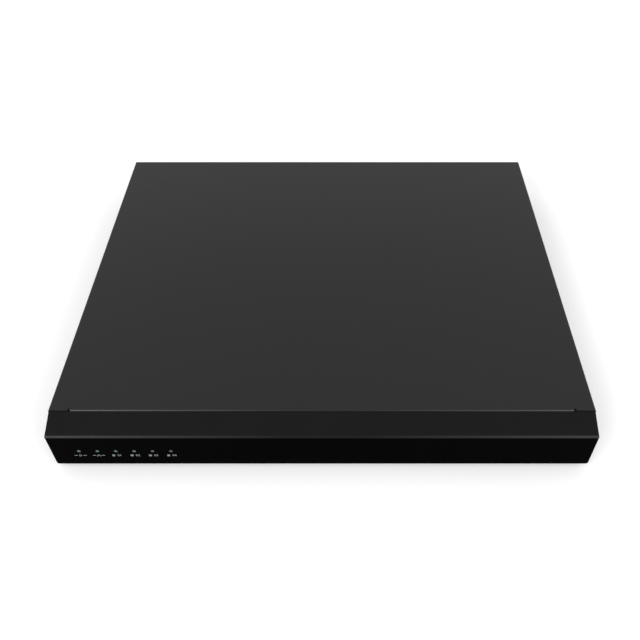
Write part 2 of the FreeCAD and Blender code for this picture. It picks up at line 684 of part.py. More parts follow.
def light_board_fixings():
    return group(screw(x, Y_LIGHTS + BOARD_T, Z_LIGHTS + 6.0, "y", -1, 6.0)
                 for x in light_board_screws())


# ---- drives -----------------------------------------------------------------
def drive_grommets():
    shapes = []
    z = Z_BASE - GROMMET_UNDER
    tall = GROMMET_UNDER + SHEET + GROMMET_T
    for x, y in drive_holes(X_BAYS):
        part = turned([(0, GROMMET_BORE), (0, GROMMET_R), (GROMMET_UNDER, GROMMET_R),
                       (GROMMET_UNDER, GROMMET_NECK), (GROMMET_UNDER + SHEET, GROMMET_NECK),
                       (GROMMET_UNDER + SHEET, GROMMET_R), (tall, GROMMET_R), (tall, GROMMET_BORE)],
                      x, y, z, "z")
        shapes.append(part)
    return group(shapes)


def drive_screws():
    length = GROMMET_UNDER + SHEET + GROMMET_T + 4.0
    return group(screw(x, y, Z_BASE - GROMMET_UNDER, "z", 1, length, BAR_R, 3.4, 1.6)
                 for x, y in drive_holes(FITTED))


def drive_castings():
    """The cast body of each drive: side rails, an open bay below for its circuit board."""
    shapes = []
    for x in FITTED:
        rail = box(x - DRIVE_W / 2, x + DRIVE_W / 2, Y_DRIVE, Y_DRIVE_REAR, Z_DRIVE, Z_DRIVE + 19.0)
        rail = round_edges(rail, 2.5, "z")
        upper = box(x - DRIVE_W / 2 + 2.5, x + DRIVE_W / 2 - 2.5, Y_DRIVE + 1.5, Y_DRIVE_REAR - 2.0,
                    Z_DRIVE + 18.0, Z_DRIVE + DRIVE_H - 1.0)
        upper = round_edges(upper, 8.0, "z")
        body = rail.fuse(upper)
        body = body.cut(box(x - 43.0, x + 43.0, Y_DRIVE + 20, Y_DRIVE_REAR - 18,
                            Z_DRIVE - 1, Z_DRIVE + 4.0))
        body = body.cut(box(x + POWER_PLUG_X - POWER_W / 2 - 2, x + DATA_PLUG_X + DATA_W / 2 + 2,
                            Y_DRIVE_REAR - 19, Y_DRIVE_REAR + 1, Z_DRIVE - 1, Z_DRIVE + 11.0))
        holes = [rod(BAR_R + THREAD_GAP, 6.0, hx, hy, Z_DRIVE - 1) for hx, hy in drive_holes([x])]
        for side in (-1, 1):
            for back in (16.0, 60.0, 118.0):
                y = Y_DRIVE_REAR - back
                holes.append(rod(1.6, 3.0, x + side * DRIVE_W / 2 - 1.5, y, Z_DRIVE + 6.4, "x"))
        shapes.append(cut_all(body, holes))
    return group(shapes)


PLUG_IN = 5.8           # front of a cable plug inside the drive's rear end
LID_SCREWS = [(a, b) for a in (-0.93, 0.93) for b in (-0.93, 0.0, 0.93)]


def lid_half():
    return DRIVE_W / 2 - 4.0, DRIVE_L / 2 - 3.5


def drive_lids():
    """The pressed lid of each drive: a raised ring over the disks and a spindle cap."""
    shapes = []
    half_x, half_y = lid_half()
    z = Z_DRIVE + DRIVE_H - 1.0
    for x in FITTED:
        y = Y_DRIVE + DRIVE_L / 2
        lid = box(x - half_x, x + half_x, y - half_y, y + half_y, z, z + 1.0)
        lid = round_edges(lid, 7.0, "z")
        lid = lid.cut(ring(44.0, 41.0, 1.0, x, y - 20.0, z + 0.55))
        lid = lid.cut(ring(12.0, 10.6, 1.0, x, y - 20.0, z + 0.55))
        lid = lid.cut(slot(3.0, 46.0, 1.0, x + 10.0, y + 48.0, z + 0.55, "x", "z"))
        shapes.append(lid)
    return group(shapes)


def drive_lid_screws():
    half_x, half_y = lid_half()
    shapes = []
    z = Z_DRIVE + DRIVE_H
    for x in FITTED:
        y = Y_DRIVE + DRIVE_L / 2
        for a, b in LID_SCREWS:
            head = rod(2.1, 0.8, x + a * half_x, y + b * half_y, z)
            shapes.append(head.cut(rod(0.9, 0.8, x + a * half_x, y + b * half_y, z + 0.3)))
    return group(shapes)


def drive_boards():
    return group(box(x - 42.0, x + 42.0, Y_DRIVE + 21, Y_DRIVE_REAR - 19.5, Z_DRIVE + 1.2, Z_DRIVE + 2.4)
                 for x in FITTED)


def drive_sockets():
    shapes = []
    for x in FITTED:
        z = Z_DRIVE + PORT_UP
        body = box(x + POWER_PLUG_X - POWER_W / 2 - 1.5, x + DATA_PLUG_X + DATA_W / 2 + 1.5,
                   Y_DRIVE_REAR - 18.5, Y_DRIVE_REAR - 6.0, z - 4.0, z + 4.0)
        for mid, w in ((POWER_PLUG_X, POWER_W), (DATA_PLUG_X, DATA_W)):
            body = body.fuse(block(x + mid, Y_DRIVE_REAR - 7.0, Y_DRIVE_REAR - 1.0, z, w - 3.0, 1.4))
        shapes.append(body)
    return group(shapes)


PLUG_L = 14.0
SOCKET_L = 12.0
Z_DATA_SOCKET = Z_PARTS + 4.2


def sata_sockets():
    """Right-angle data sockets along the front edge of the main board, one for each bay."""
    shapes = []
    for x in board_socket_xs():
        body = block(x, Y_BOARD0 + 1.0, Y_BOARD0 + SOCKET_L, Z_DATA_SOCKET, DATA_W + 4.0, 8.0)
        body = body.cut(block(x, Y_BOARD0 + 0.5, Y_BOARD0 + 8.0, Z_DATA_SOCKET, DATA_W + 0.4, 4.6))
        tongue = block(x, Y_BOARD0 + 3.0, Y_BOARD0 + 9.0, Z_DATA_SOCKET, DATA_W - 3.0, 1.2)
        shapes.append(body.fuse(tongue))
    return group(shapes)


def board_socket_xs():
    fitted = [x + DATA_PLUG_X for x in FITTED]
    spare = FITTED[-1] + POWER_PLUG_X - 24.0
    return fitted + [spare, spare - 18.0]


def socket_plug(x, y0, y1, z, w, h, tongue_w, sign):
    """A cable plug that fits over a thin tongue at its y0 end for sign 1, or y1 for -1."""
    body = block(x, y0, y1, z, w, h)
    body = round_edges(body, 0.8, "y")
    mouth = y0 if sign > 0 else y1
    low, high = sorted((mouth - sign, mouth + sign * 6.5))
    return body.cut(block(x, low, high, z, tongue_w + 0.5, 2.0))


def sata_plugs():
    shapes = []
    for x in FITTED:
        px = x + DATA_PLUG_X
        z = Z_DRIVE + PORT_UP
        start = Y_DRIVE_REAR - PLUG_IN
        shapes.append(socket_plug(px, start, start + PLUG_L, z, DATA_W, 4.4, DATA_W - 3.0, 1))
        end = Y_BOARD0 + 7.8
        shapes.append(socket_plug(px, end - PLUG_L, end, Z_DATA_SOCKET, DATA_W, 4.4, DATA_W - 3.0, -1))
    return group(shapes)


def sata_cables():
    """Flat data cables, drive to board, with a little slack that stands up in an arch."""
    shapes = []
    for i, x in enumerate(FITTED):
        px = x + DATA_PLUG_X
        y0 = Y_DRIVE_REAR - PLUG_IN + PLUG_L
        y1 = Y_BOARD0 + 7.8 - PLUG_L
        z0 = Z_DRIVE + PORT_UP
        z1 = Z_DATA_SOCKET
        span = y1 - y0
        route = [(px, y0, z0), (px, y0 + 0.22 * span, z0), (px, y0 + 0.44 * span, z0 + 7.5),
                 (px, y0 + 0.62 * span, z0 + 8.0), (px, y0 + 0.8 * span, z1), (px, y1, z1)]
        shapes.append(ribbon(route, 8.0, 1.8, "x", f"sata_cable_{i + 1}"))
    return group(shapes)


Z_POWER_HEAD = Z_PARTS + 4.0
POWER_WIRE_R = 0.95
FAN_WIRE_R = 0.7
POWER_WIRE_XS = (-6.0, -2.0, 2.0, 6.0)


def drive_power_plugs():
    shapes = []
    for x in FITTED:
        px = x + POWER_PLUG_X
        z = Z_DRIVE + PORT_UP
        start = Y_DRIVE_REAR - PLUG_IN
        shapes.append(socket_plug(px, start, start + PLUG_L, z, POWER_W, 5.0, POWER_W - 3.0, 1))
    return group(shapes)


def power_headers():
    """White four-way headers on the board, each with its cable housing in it."""
    return group(block(x + POWER_PLUG_X, Y_BOARD0 + 1.0, Y_BOARD0 + SOCKET_L, Z_POWER_HEAD, 18.0, 7.6)
                 for x in FITTED)


def power_wires(which):
    shapes = []
    for i, x in enumerate(FITTED):
        for j in which:
            px = x + POWER_PLUG_X + POWER_WIRE_XS[j]
            y0 = Y_DRIVE_REAR - PLUG_IN + PLUG_L
            y1 = Y_BOARD0 + 1.0
            z0 = Z_DRIVE + PORT_UP
            z1 = Z_POWER_HEAD
            span = y1 - y0
            lift = 9.0 + 1.5 * (j % 2)
            route = [(px, y0, z0), (px, y0 + 0.2 * span, z0), (px, y0 + 0.42 * span, z0 + lift),
                     (px, y0 + 0.64 * span, z0 + lift + 0.6), (px, y0 + 0.84 * span, z1), (px, y1, z1)]
            shapes.append(wire(route, POWER_WIRE_R, f"power_wire_{i + 1}_{j + 1}"))
    return group(shapes)


# ---- main board -------------------------------------------------------------
def board_holes():
    xs = (X_BOARD0 + BOARD_HOLE_IN, X_BOARD0 + BOARD_W * 0.36, X_BOARD0 + BOARD_W * 0.68,
          X_BOARD1 - BOARD_HOLE_IN)
    ys = (Y_BOARD0 + 19.0, Y_BOARD1 - 24.0)
    return [(x, y) for x in xs for y in ys]


def main_board():
    board = box(X_BOARD0, X_BOARD1, Y_BOARD0, Y_BOARD1, Z_BOARD, Z_BOARD + BOARD_T)
    board = round_edges(board, 2.0, "z")
    return cut_all(board, [rod(SCREW_R + HOLE_GAP, 9, x, y, Z_BOARD - 4) for x, y in board_holes()])


def standoffs():
    shapes = []
    for x, y in board_holes():
        points = [V(x + STANDOFF_R * math.cos(math.radians(60 * k)),
                    y + STANDOFF_R * math.sin(math.radians(60 * k)), Z_FLOOR) for k in range(7)]
        post = Part.Face(Part.makePolygon(points)).extrude(V(0, 0, STANDOFF_H))
        shapes.append(post.cut(rod(SCREW_R + THREAD_GAP, STANDOFF_H - 1.0, x, y, Z_FLOOR + 1.0)))
    return group(shapes)


def board_screws():
    return group(screw(x, y, Z_PARTS, "z", -1, 5.5) for x, y in board_holes())


CPU_X = X_BOARD0 + BOARD_W * 0.52
CPU_Y = Y_BOARD0 + BOARD_D * 0.42
SINK = 56.0
SINK_H = 18.0
SINK_FINS = 12


def processor():
    lid = box(CPU_X - 13, CPU_X + 13, CPU_Y - 13, CPU_Y + 13, Z_PARTS, Z_PARTS + 1.0)
    return lid.fuse(box(CPU_X - 8, CPU_X + 8, CPU_Y - 8, CPU_Y + 8, Z_PARTS + 1.0, Z_PARTS + 1.8))


def sink_pins():
    reach = SINK / 2 - 5.0
    return [(CPU_X + a * reach, CPU_Y - a * reach) for a in (-1, 1)]


def heatsink():
    z = Z_PARTS + 1.8
    half = SINK / 2
    sink = box(CPU_X - half, CPU_X + half, CPU_Y - half, CPU_Y + half, z, z + SINK_H)
    step = (SINK - 1.2) / SINK_FINS
    tools = []
    for i in range(SINK_FINS):
        x = CPU_X - half + 1.2 + i * step
        tools.append(box(x, x + step - 1.2, CPU_Y - half - 1, CPU_Y + half + 1, z + 3.5, z + SINK_H + 1))
    for x, y in sink_pins():
        tools.append(rod(4.2, SINK_H, x, y, z + 3.5))
        tools.append(rod(1.7, SINK_H, x, y, z - 1))
    return cut_all(sink, tools)


def heatsink_pins():
    """Sprung push pins through two corners of the heatsink."""
    shapes = []
    z = Z_PARTS + 1.8 + 3.5
    for x, y in sink_pins():
        pin = rod(1.5, z - Z_PARTS, x, y, Z_PARTS)
        shapes.append(pin.fuse(turned([(0, 0), (0, 3.0), (5.0, 3.0), (7.0, 2.0), (7.0, 0)],
                                      x, y, z, "z")))
    return group(shapes)


def chip(x, y, w, d, h):
    body = box(x - w / 2, x + w / 2, y - d / 2, y + d / 2, Z_PARTS, Z_PARTS + h)
    body = body.makeChamfer(0.25, [e for e in body.Edges
                                   if all(v.Point.z > Z_PARTS + h - 0.01 for v in e.Vertexes)])
    return body.cut(rod(0.8, 1.0, x - w / 2 + 2.0, y - d / 2 + 2.0, Z_PARTS + h - 0.15))


def video_chips():
    """One video decoder for each four jacks, in a row in front of them."""
    return group(chip((X_BNC[2 * i] + X_BNC[2 * i + 1]) / 2, Y_BOARD1 - 42.0, 14.0, 14.0, 1.4)
                 for i in range(BNC_COLS // 2))


def memory_chips():
    return group(chip(CPU_X + side * (SINK / 2 + 10.0), CPU_Y + row * 17.0, 9.0, 13.0, 1.1)
                 for side in (-1, 1) for row in (-0.5, 0.5))


def capacitor_places():
    first = X_POWER - 2.0
    return [(first + i * 12.0, Y_BOARD1 - 33.0) for i in range(4)] + \
           [(first + 6.0 + i * 12.0, Y_BOARD1 - 46.0) for i in range(3)]


def capacitors():
    shapes = []
    for x, y in capacitor_places():
        can = rod(4.0, 11.0, x, y, Z_PARTS)
        can = can.makeFillet(0.6, [e for e in can.Edges if isinstance(e.Curve, Part.Circle)
                                   and e.Vertexes[0].Point.z > Z_PARTS + 5])
        for w, d in ((5.0, 0.4), (0.4, 5.0)):
            can = can.cut(box(x - w / 2, x + w / 2, y - d / 2, y + d / 2, Z_PARTS + 10.7, Z_PARTS + 12))
        shapes.append(can)
    return group(shapes)


def inductors():
    shapes = []
    for i in range(4):
        x = X_POWER + 2.0 + i * 15.0
        y = Y_BOARD0 + 62.0
        coil = box(x - 5, x + 5, y - 5, y + 5, Z_PARTS, Z_PARTS + 4.5)
        shapes.append(round_edges(coil, 1.5, "z"))
    return group(shapes)


CELL_AT = (X_BOARD1 - 34.0, Y_BOARD0 + 40.0)


def cell_holder():
    x, y = CELL_AT
    body = rod(12.2, 5.0, x, y, Z_PARTS).cut(rod(10.15, 5.0, x, y, Z_PARTS + 1.2))
    clip = box(x - 4, x + 4, y + 7.5, y + 14.0, Z_PARTS, Z_PARTS + 5.0)
    clip = clip.cut(rod(10.15, 5.0, x, y, Z_PARTS + 1.2))
    body = body.fuse(clip)
    return body.cut(box(x - 5, x + 5, y - 14, y - 8, Z_PARTS + 2.5, Z_PARTS + 6))


def coin_cell():
    x, y = CELL_AT
    cell = rod(10.0, 3.2, x, y, Z_PARTS + 1.2)
    cell = cell.fuse(rod(8.8, 0.4, x, y, Z_PARTS + 4.4))
    return cell


def fan_header_places():
    return [(X_BOARD0 + 8.0, Y_BOARD0 + 50.0 + 14.0 * i) for i in range(2)]


SWITCH_HEADER = (X_SWITCH, Y_BOARD1 - 48.0)


def lead_headers():
    """Small white sockets for the fan leads and the switch leads."""
    places = fan_header_places() + [SWITCH_HEADER]
    return group(box(x - 3.5, x + 3.5, y - 3.5, y + 3.5, Z_PARTS, Z_PARTS + 7.0) for x, y in places)


# ---- rear connectors --------------------------------------------------------
def bnc_blocks():
    """Plastic bodies behind the panel, each carrying one jack above another."""
    shapes = []
    top = Z_PARTS + BNC_ROWS[1] + BNC_RING_R
    for x in X_BNC:
        half = (BNC_PITCH - BNC_BLOCK_GAP) / 2
        inside = half - BNC_BLOCK_WALL
        body = box(x - half, x + half, Y_PANEL - BNC_BLOCK_D, Y_PANEL - 0.3, Z_PARTS, top)
        body = body.cut(box(x - inside, x + inside, Y_PANEL - BNC_BLOCK_D - 1, Y_PANEL - 6.0,
                            Z_PARTS + BNC_ROWS[0] + BNC_RING_R, Z_PARTS + BNC_ROWS[1] - BNC_RING_R))
        shapes.append(body)
    return group(shapes)


def bnc_shells():
    """Jack barrels with a shoulder ring and two bayonet lugs each."""
    shapes = []
    end = Y_REAR + BNC_OUT
    start = Y_PANEL - 0.2
    for x, z in bnc_places():
        shell = rod(BNC_SHELL_R, end - start, x, start, z, "y")
        shell = shell.fuse(rod(BNC_RING_R, 1.2, x, Y_REAR + 0.05, z, "y"))
        shell = shell.fuse(rod(BNC_SHELL_R + 0.5, 0.8, x, Y_REAR + 4.2, z, "y"))
        shell = shell.fuse(rod(0.95, 2 * BNC_SHELL_R + 2.4, x, end - 4.6, z - BNC_SHELL_R - 1.2, "z"))
        shell = shell.cut(rod(BNC_BORE_R, end - start, x, start + 2.0, z, "y"))
        rim = [e for e in shell.Edges if isinstance(e.Curve, Part.Circle)
               and abs(e.Curve.Radius - BNC_SHELL_R) < 0.01 and e.Vertexes[0].Point.y > end - 0.01]
        shapes.append(shell.makeChamfer(0.3, rim))
    return group(shapes)


def bnc_insulators():
    shapes = []
    start = Y_PANEL + 1.8
    for x, z in bnc_places():
        base = rod(BNC_BORE_R - 0.05, 2.5, x, start + 0.05, z, "y")
        core = rod(2.35, 8.0, x, start + 0.05, z, "y")
        shapes.append(base.fuse(core).cut(rod(1.2, 9.0, x, start, z, "y")))
    return group(shapes)


def bnc_contacts():
    start = Y_PANEL + 1.85
    return group(ring(1.12, 0.65, 8.4, x, start, z, "y") for x, z in bnc_places())


def audio_block():
    top = Z_PARTS + BNC_ROWS[1] + BNC_RING_R
    return box(X_AUDIO - 6.2, X_AUDIO + 6.2, Y_PANEL - 14.0, Y_PANEL - 0.3, Z_PARTS, top)


def audio_rings():
    """Coloured plastic rings round the phono jacks."""
    return group(ring(BNC_SHELL_R - 0.2, 3.3, 3.4, x, Y_PANEL - 0.2, z, "y") for x, z in audio_places())


def audio_shells():
    """Phono jack barrels with their centre sockets left open."""
    return group(ring(3.2, 2.5, 10.0, x, Y_PANEL - 0.2, z, "y") for x, z in audio_places())


def audio_cores():
    return group(ring(2.45, 1.6, 9.4, x, Y_PANEL - 0.2, z, "y") for x, z in audio_places())


def d_outline(w, h, slant):
    """A D shape about the origin: the bottom edge is narrower than the top."""
    return [(-w / 2, h / 2), (w / 2, h / 2), (w / 2 - slant, -h / 2), (-w / 2 + slant, -h / 2)]


def moved(points, x, z):
    return [(x + a, z + b) for a, b in points]


def vga_shell():
    """Steel flange and D-shaped skirt, with the two threaded posts beside it."""
    front = Y_REAR + 0.05
    plate = block(X_VGA, front, front + 0.8, Z_VGA, VGA_W, VGA_H)
    plate = round_edges(plate, 2.0, "y")
    skirt = prism_y(moved(d_outline(17.6, 8.8, 1.0), X_VGA, Z_VGA), Y_PANEL - 0.2, front + 6.0)
    skirt = round_edges(skirt, 1.6, "y")
    shell = plate.fuse(skirt)
    inner = prism_y(moved(d_outline(16.8, 8.0, 1.0), X_VGA, Z_VGA), Y_PANEL - 2, front + 9.0)
    shell = shell.cut(round_edges(inner, 1.2, "y"))
    for side in (-1, 1):
        x = X_VGA + side * 12.5
        shell = shell.cut(rod(1.7, 9.0, x, Y_PANEL - 2, Z_VGA, "y"))
    return shell


def vga_posts():
    shapes = []
    for side in (-1, 1):
        x = X_VGA + side * 12.5
        points = [V(x + 2.9 * math.cos(math.radians(60 * k)), Y_REAR + 0.9,
                    Z_VGA + 2.9 * math.sin(math.radians(60 * k))) for k in range(7)]
        post = Part.Face(Part.makePolygon(points)).extrude(V(0, 5.0, 0))
        post = post.fuse(rod(1.6, 6.0, x, Y_REAR - 5.0, Z_VGA, "y"))
        shapes.append(post.cut(rod(1.3, 5.0, x, Y_REAR + 1.5, Z_VGA, "y")))
    return group(shapes)


def vga_insert():
    front = Y_REAR + 5.4
    core = prism_y(moved(d_outline(16.6, 7.8, 1.0), X_VGA, Z_VGA), Y_PANEL - 9.0, front)
    core = round_edges(core, 1.1, "y")
    core = core.fuse(box(X_VGA - 15.0, X_VGA + 15.0, Y_PANEL - 13.0, Y_PANEL - 6.5,
                         Z_PARTS, Z_VGA + 6.0))
    tools = []
    for row in range(3):
        for col in range(5):
            x = X_VGA + (col - 2) * 2.29 + (0.0 if row != 1 else 1.0) - 0.4
            tools.append(rod(0.5, 6.0, x, front - 5.0, Z_VGA + (row - 1) * 1.98, "y"))
    return cut_all(core, tools)


def socket_shell(x, z, w, h, deep, wall, mouths):
    """A folded metal shell flush with the case, with one or more rectangular mouths."""
    end = Y_REAR + SHELL_OUT
    shell = block(x, end - deep, end, z, w, h)
    shell = round_edges(shell, 0.6, "y")
    tools = [block(x, end - deep + wall, end + 1, z + up, mw, mh) for up, mw, mh in mouths]
    return cut_all(shell, tools)


USB_MOUTHS = [(-3.75, 12.6, 5.2), (3.75, 12.6, 5.2)]


def usb_shell():
    return socket_shell(X_USB, Z_USB, USB_W, USB_H, 16.0, 1.0, USB_MOUTHS)


def usb_tongues():
    end = Y_REAR + SHELL_OUT
    return group(block(X_USB, end - 14.95, end - 1.6, Z_USB + up + 1.0, 11.4, 1.9)
                 for up, _, _ in USB_MOUTHS)


def hdmi_shell():
    end = Y_REAR + SHELL_OUT
    shell = block(X_HDMI, end - 12.0, end, Z_HDMI, HDMI_W, HDMI_H)
    shell = round_edges(shell, 0.7, "y")
    points = [(-7.0, 2.35), (7.0, 2.35), (7.0, -0.4), (5.4, -2.35), (-5.4, -2.35), (-7.0, -0.4)]
    return shell.cut(prism_y(moved(points, X_HDMI, Z_HDMI), end - 11.0, end + 1))


def hdmi_tongue():
    end = Y_REAR + SHELL_OUT
    return block(X_HDMI, end - 10.95, end - 1.2, Z_HDMI + 0.3, 11.6, 1.2)


def esata_shell():
    return socket_shell(X_ESATA, Z_ESATA, ESATA_W, ESATA_H, 13.0, 1.0, [(0, 11.2, 4.6)])


def esata_tongue():
    end = Y_REAR + SHELL_OUT
    return block(X_ESATA, end - 11.95, end - 1.2, Z_ESATA + 0.4, 8.6, 1.3)


LAN_MOUTH = (-0.9, 11.8, 8.6)


def lan_shell():
    """Network socket shell: the mouth has a notch above it for the plug's latch."""
    up, w, h = LAN_MOUTH
    mouths = [LAN_MOUTH, (up + h / 2 + 0.5, 6.0, 2.2)]
    shell = socket_shell(X_LAN, Z_LAN, LAN_W, LAN_H, 18.0, 5.0, mouths)
    end = Y_REAR + SHELL_OUT
    tools = [block(X_LAN + side * 5.6, end - 1.5, end + 1, Z_LAN + 5.2, 2.6, 1.7) for side in (-1, 1)]
    return cut_all(shell, tools)


def lan_contacts():
    """Eight sprung contacts on the floor of the network socket."""
    end = Y_REAR + SHELL_OUT
    up, _, h = LAN_MOUTH
    z = Z_LAN + up - h / 2
    shapes = []
    for i in range(8):
        x = X_LAN + (i - 3.5) * 1.02
        shapes.append(prism_x([(end - 12.9, z + 0.05), (end - 2.5, z + 0.05), (end - 2.5, z + 0.45),
                               (end - 9.5, z + 2.6), (end - 12.9, z + 2.6)], x - 0.22, x + 0.22))
    return group(shapes)


def power_jack():
    """Round low-voltage inlet on a square body, open to the rear."""
    end = Y_REAR + 0.5
    body = block(X_POWER, Y_PANEL - 13.5, Y_PANEL - 0.2, Z_POWER, JACK_W, JACK_H)
    body = body.fuse(rod(JACK_R - 0.3, end - Y_PANEL + 1, X_POWER, Y_PANEL - 1, Z_POWER, "y"))
    return body.cut(rod(2.95, 11.0, X_POWER, end - 10.0, Z_POWER, "y"))


def power_jack_pin():
    end = Y_REAR + 0.5
    return rod(1.05, 9.3, X_POWER, end - 10.0, Z_POWER, "y")


def terminal_xs():
    return [X_TERMINAL + (i - (TERMINALS - 1) / 2) * TERMINAL_PITCH for i in range(TERMINALS)]


def terminal_header():
    end = Y_REAR + SHELL_OUT
    body = block(X_TERMINAL, Y_PANEL - 11.0, end, Z_TERMINAL, TERMINAL_W, TERMINAL_H)
    body = body.cut(block(X_TERMINAL, Y_PANEL - 9.0, end + 1, Z_TERMINAL,
                          TERMINAL_W - 2.0, TERMINAL_H - 2.0))
    for x in terminal_xs():
        body = body.fuse(block(x, Y_PANEL - 9.5, Y_PANEL - 2.5, Z_TERMINAL, 0.9, 0.9))
    return body


def terminal_plug():
    """Screw terminal plug: wire entries at the back, and a screw well over each."""
    start = Y_PANEL - 8.6
    end = Y_REAR + PLUG_OUT
    w = TERMINAL_W - 2.6
    h = TERMINAL_H - 2.6
    body = block(X_TERMINAL, start, end, Z_TERMINAL, w, h)
    head = block(X_TERMINAL, Y_REAR + 1.0, end, Z_TERMINAL + 1.2, w, h + 2.4)
    body = body.fuse(head).removeSplitter()
    tools = []
    for x in terminal_xs():
        tools.append(block(x, start - 1, start + 7.0, Z_TERMINAL, 1.5, 1.5))
        tools.append(block(x, end - 5.0, end + 1, Z_TERMINAL - 0.4, 2.7, 2.9))
        tools.append(rod(1.45, 2.2, x, Y_REAR + 4.4, Z_TERMINAL + h / 2 + 0.6, "z"))
    return cut_all(body, tools)


def terminal_screws():
    """Slotted screws in the wells on top of the plug."""
    shapes = []
    z = Z_TERMINAL + (TERMINAL_H - 2.6) / 2 + 0.6
    for x in terminal_xs():
        head = rod(1.38, 1.3, x, Y_REAR + 4.4, z, "z")
        shapes.append(head.cut(block(x, Y_REAR + 2.9, Y_REAR + 5.9, z + 1.3, 0.45, 1.2)))
    return group(shapes)


def ground_screw():
    x, z = GROUND_AT
    return screw(x, Y_REAR + 0.9, z, "y", -1, 7.0, 2.0, 3.9, 2.4)


def ground_washer():
    x, z = GROUND_AT
    return ring(4.6, 2.2, 0.8, x, Y_REAR + 0.05, z, "y")


# ---- power switch -----------------------------------------------------------
ROCKER_PIVOT_Y = Y_REAR - 0.6
ROCKER_PIN_R = 1.1


def switch_frame():
    """Rocker switch body: a rim on the panel and a box behind it."""
    rim = block(X_SWITCH, Y_REAR + 0.05, Y_REAR + 1.9, Z_MID, SWITCH_W + 2.4, SWITCH_H + 2.4)
    rim = round_edges(rim, 1.2, "y")
    body = block(X_SWITCH, Y_PANEL - 11.0, Y_REAR + 0.5, Z_MID, SWITCH_W, SWITCH_H)
    frame = rim.fuse(body)
    frame = frame.cut(block(X_SWITCH, Y_PANEL - 8.0, Y_REAR + 3, Z_MID, SWITCH_W - 2.4, SWITCH_H - 2.4))
    pin = rod(ROCKER_PIN_R + RUN_GAP, SWITCH_W - 1.0, X_SWITCH - SWITCH_W / 2 + 0.5, ROCKER_PIVOT_Y,
              Z_MID, "x")
    frame = frame.cut(pin)
    for up in (-5.0, 5.0):
        frame = frame.fuse(block(X_SWITCH, Y_PANEL - 17.0, Y_PANEL - 10.5, Z_MID + up, 4.8, 0.8))
    return frame


def rocker():
    """The rocker at rest, tipped to its on side."""
    half_w = SWITCH_W / 2 - 1.5
    reach = SWITCH_H / 2 - 2.2
    y = ROCKER_PIVOT_Y
    points = [(y - 2.4, Z_MID - 3.0), (y + 0.2, Z_MID - reach), (y + 3.6, Z_MID - reach),
              (y + 2.7, Z_MID), (y + 3.6, Z_MID + reach), (y + 0.2, Z_MID + reach),
              (y - 2.4, Z_MID + 3.0)]
    body = prism_x(points, X_SWITCH - half_w, X_SWITCH + half_w)
    pin = rod(ROCKER_PIN_R, SWITCH_W - 1.2, X_SWITCH - SWITCH_W / 2 + 0.6, y, Z_MID, "x")
    body = body.fuse(pin)
    body.rotate(V(X_SWITCH, y, Z_MID), V(1, 0, 0), -ROCKER_TILT)
    return body


def switch_wires():
    """Two leads from the switch tabs, arching over to their socket on the board."""
    shapes = []
    hx, hy = SWITCH_HEADER
    y0 = Y_PANEL - 17.0
    arch = Z_MID + 8.0
    for i, up in enumerate((-5.0, 5.0)):
        x = hx + (i - 0.5) * 2.6
        z0 = Z_MID + up
        route = [(x, y0, z0), (x, y0 - 8.0, z0), (x, hy + 13.0, arch), (x, hy, arch - 1.5),
                 (x, hy, Z_PARTS + 7.0)]
        shapes.append(wire(route, 0.8, f"switch_wire_{i + 1}"))
    return group(shapes)


# ---- fans -------------------------------------------------------------------
Y_FAN1 = Y_PANEL - FAN_GAP
Y_FAN0 = Y_FAN1 - FAN_T


def fan_frames():
    """Square fan housings with a motor seat carried on four arms at the rear."""
    shapes = []
    for x in X_FANS:
        frame = block(x, Y_FAN0, Y_FAN1, Z_MID, FAN_SIZE, FAN_SIZE)
        frame = round_edges(frame, 2.5, "y")
        frame = frame.cut(rod(FAN_DUCT_R, FAN_T, x, Y_FAN0, Z_MID, "y"))
        seat = rod(FAN_HUB_R, 1.6, x, Y_FAN1 - 1.6, Z_MID, "y")
        seat = seat.fuse(rod(FAN_STUB_R, 6.0, x, Y_FAN1 - 6.5, Z_MID, "y"))
        for k in range(4):
            arm = box(x - 1.3, x + 1.3, Y_FAN1 - 1.6, Y_FAN1, Z_MID + 5.0, Z_MID + FAN_DUCT_R + 0.5)
            arm.rotate(V(x, 0, Z_MID), V(0, 1, 0), 45 + 90 * k)
            seat = seat.fuse(arm)
        frame = frame.fuse(seat)
        holes = [rod(SCREW_R + THREAD_GAP, FAN_T + 2, hx, Y_FAN0 - 1, hz, "y")
                 for hx, hz in fan_holes(x)]
        shapes.append(cut_all(frame, holes))
    return group(shapes)


def blade_section(r, chord, tilt, y_mid):
    """A thin slanted rectangle across the air stream, at radius r along +X."""
    c = math.cos(math.radians(tilt))
    s = math.sin(math.radians(tilt))
    half, t = chord / 2, 0.45
    corners = [(half, t), (half, -t), (-half, -t), (-half, t)]
    points = [V(r, y_mid + a * s + b * c, a * c - b * s) for a, b in corners]
    return Part.makePolygon(points + points[:1])


def fan_rotor(x):
    """Motor cup and its ring of twisted blades, turning about Y."""
    cup = rod(FAN_HUB_R, FAN_T - 3.6, x, Y_FAN0 + 0.8, Z_MID, "y")
    cup = cup.makeFillet(1.2, [e for e in cup.Edges if isinstance(e.Curve, Part.Circle)
                               and e.Vertexes[0].Point.y < Y_FAN0 + 2])
    cup = cup.cut(rod(FAN_STUB_R + RUN_GAP, 6.5, x, Y_FAN1 - 6.6, Z_MID, "y"))
    y_mid = (Y_FAN0 + Y_FAN1) / 2 - 0.8
    for k in range(FAN_BLADES):
        inner = blade_section(FAN_HUB_R - 0.8, 9.5, 50.0, y_mid)
        outer = blade_section(FAN_BLADE_R, 13.0, 38.0, y_mid)
        blade = Part.makeLoft([inner, outer], True, True)
        blade.rotate(V(0, 0, 0), V(0, 1, 0), 360.0 / FAN_BLADES * k)
        blade.translate(V(x, 0, Z_MID))
        cup = cup.fuse(blade)
    return cup.common(rod(FAN_BLADE_R, FAN_T, x, Y_FAN0, Z_MID, "y"))


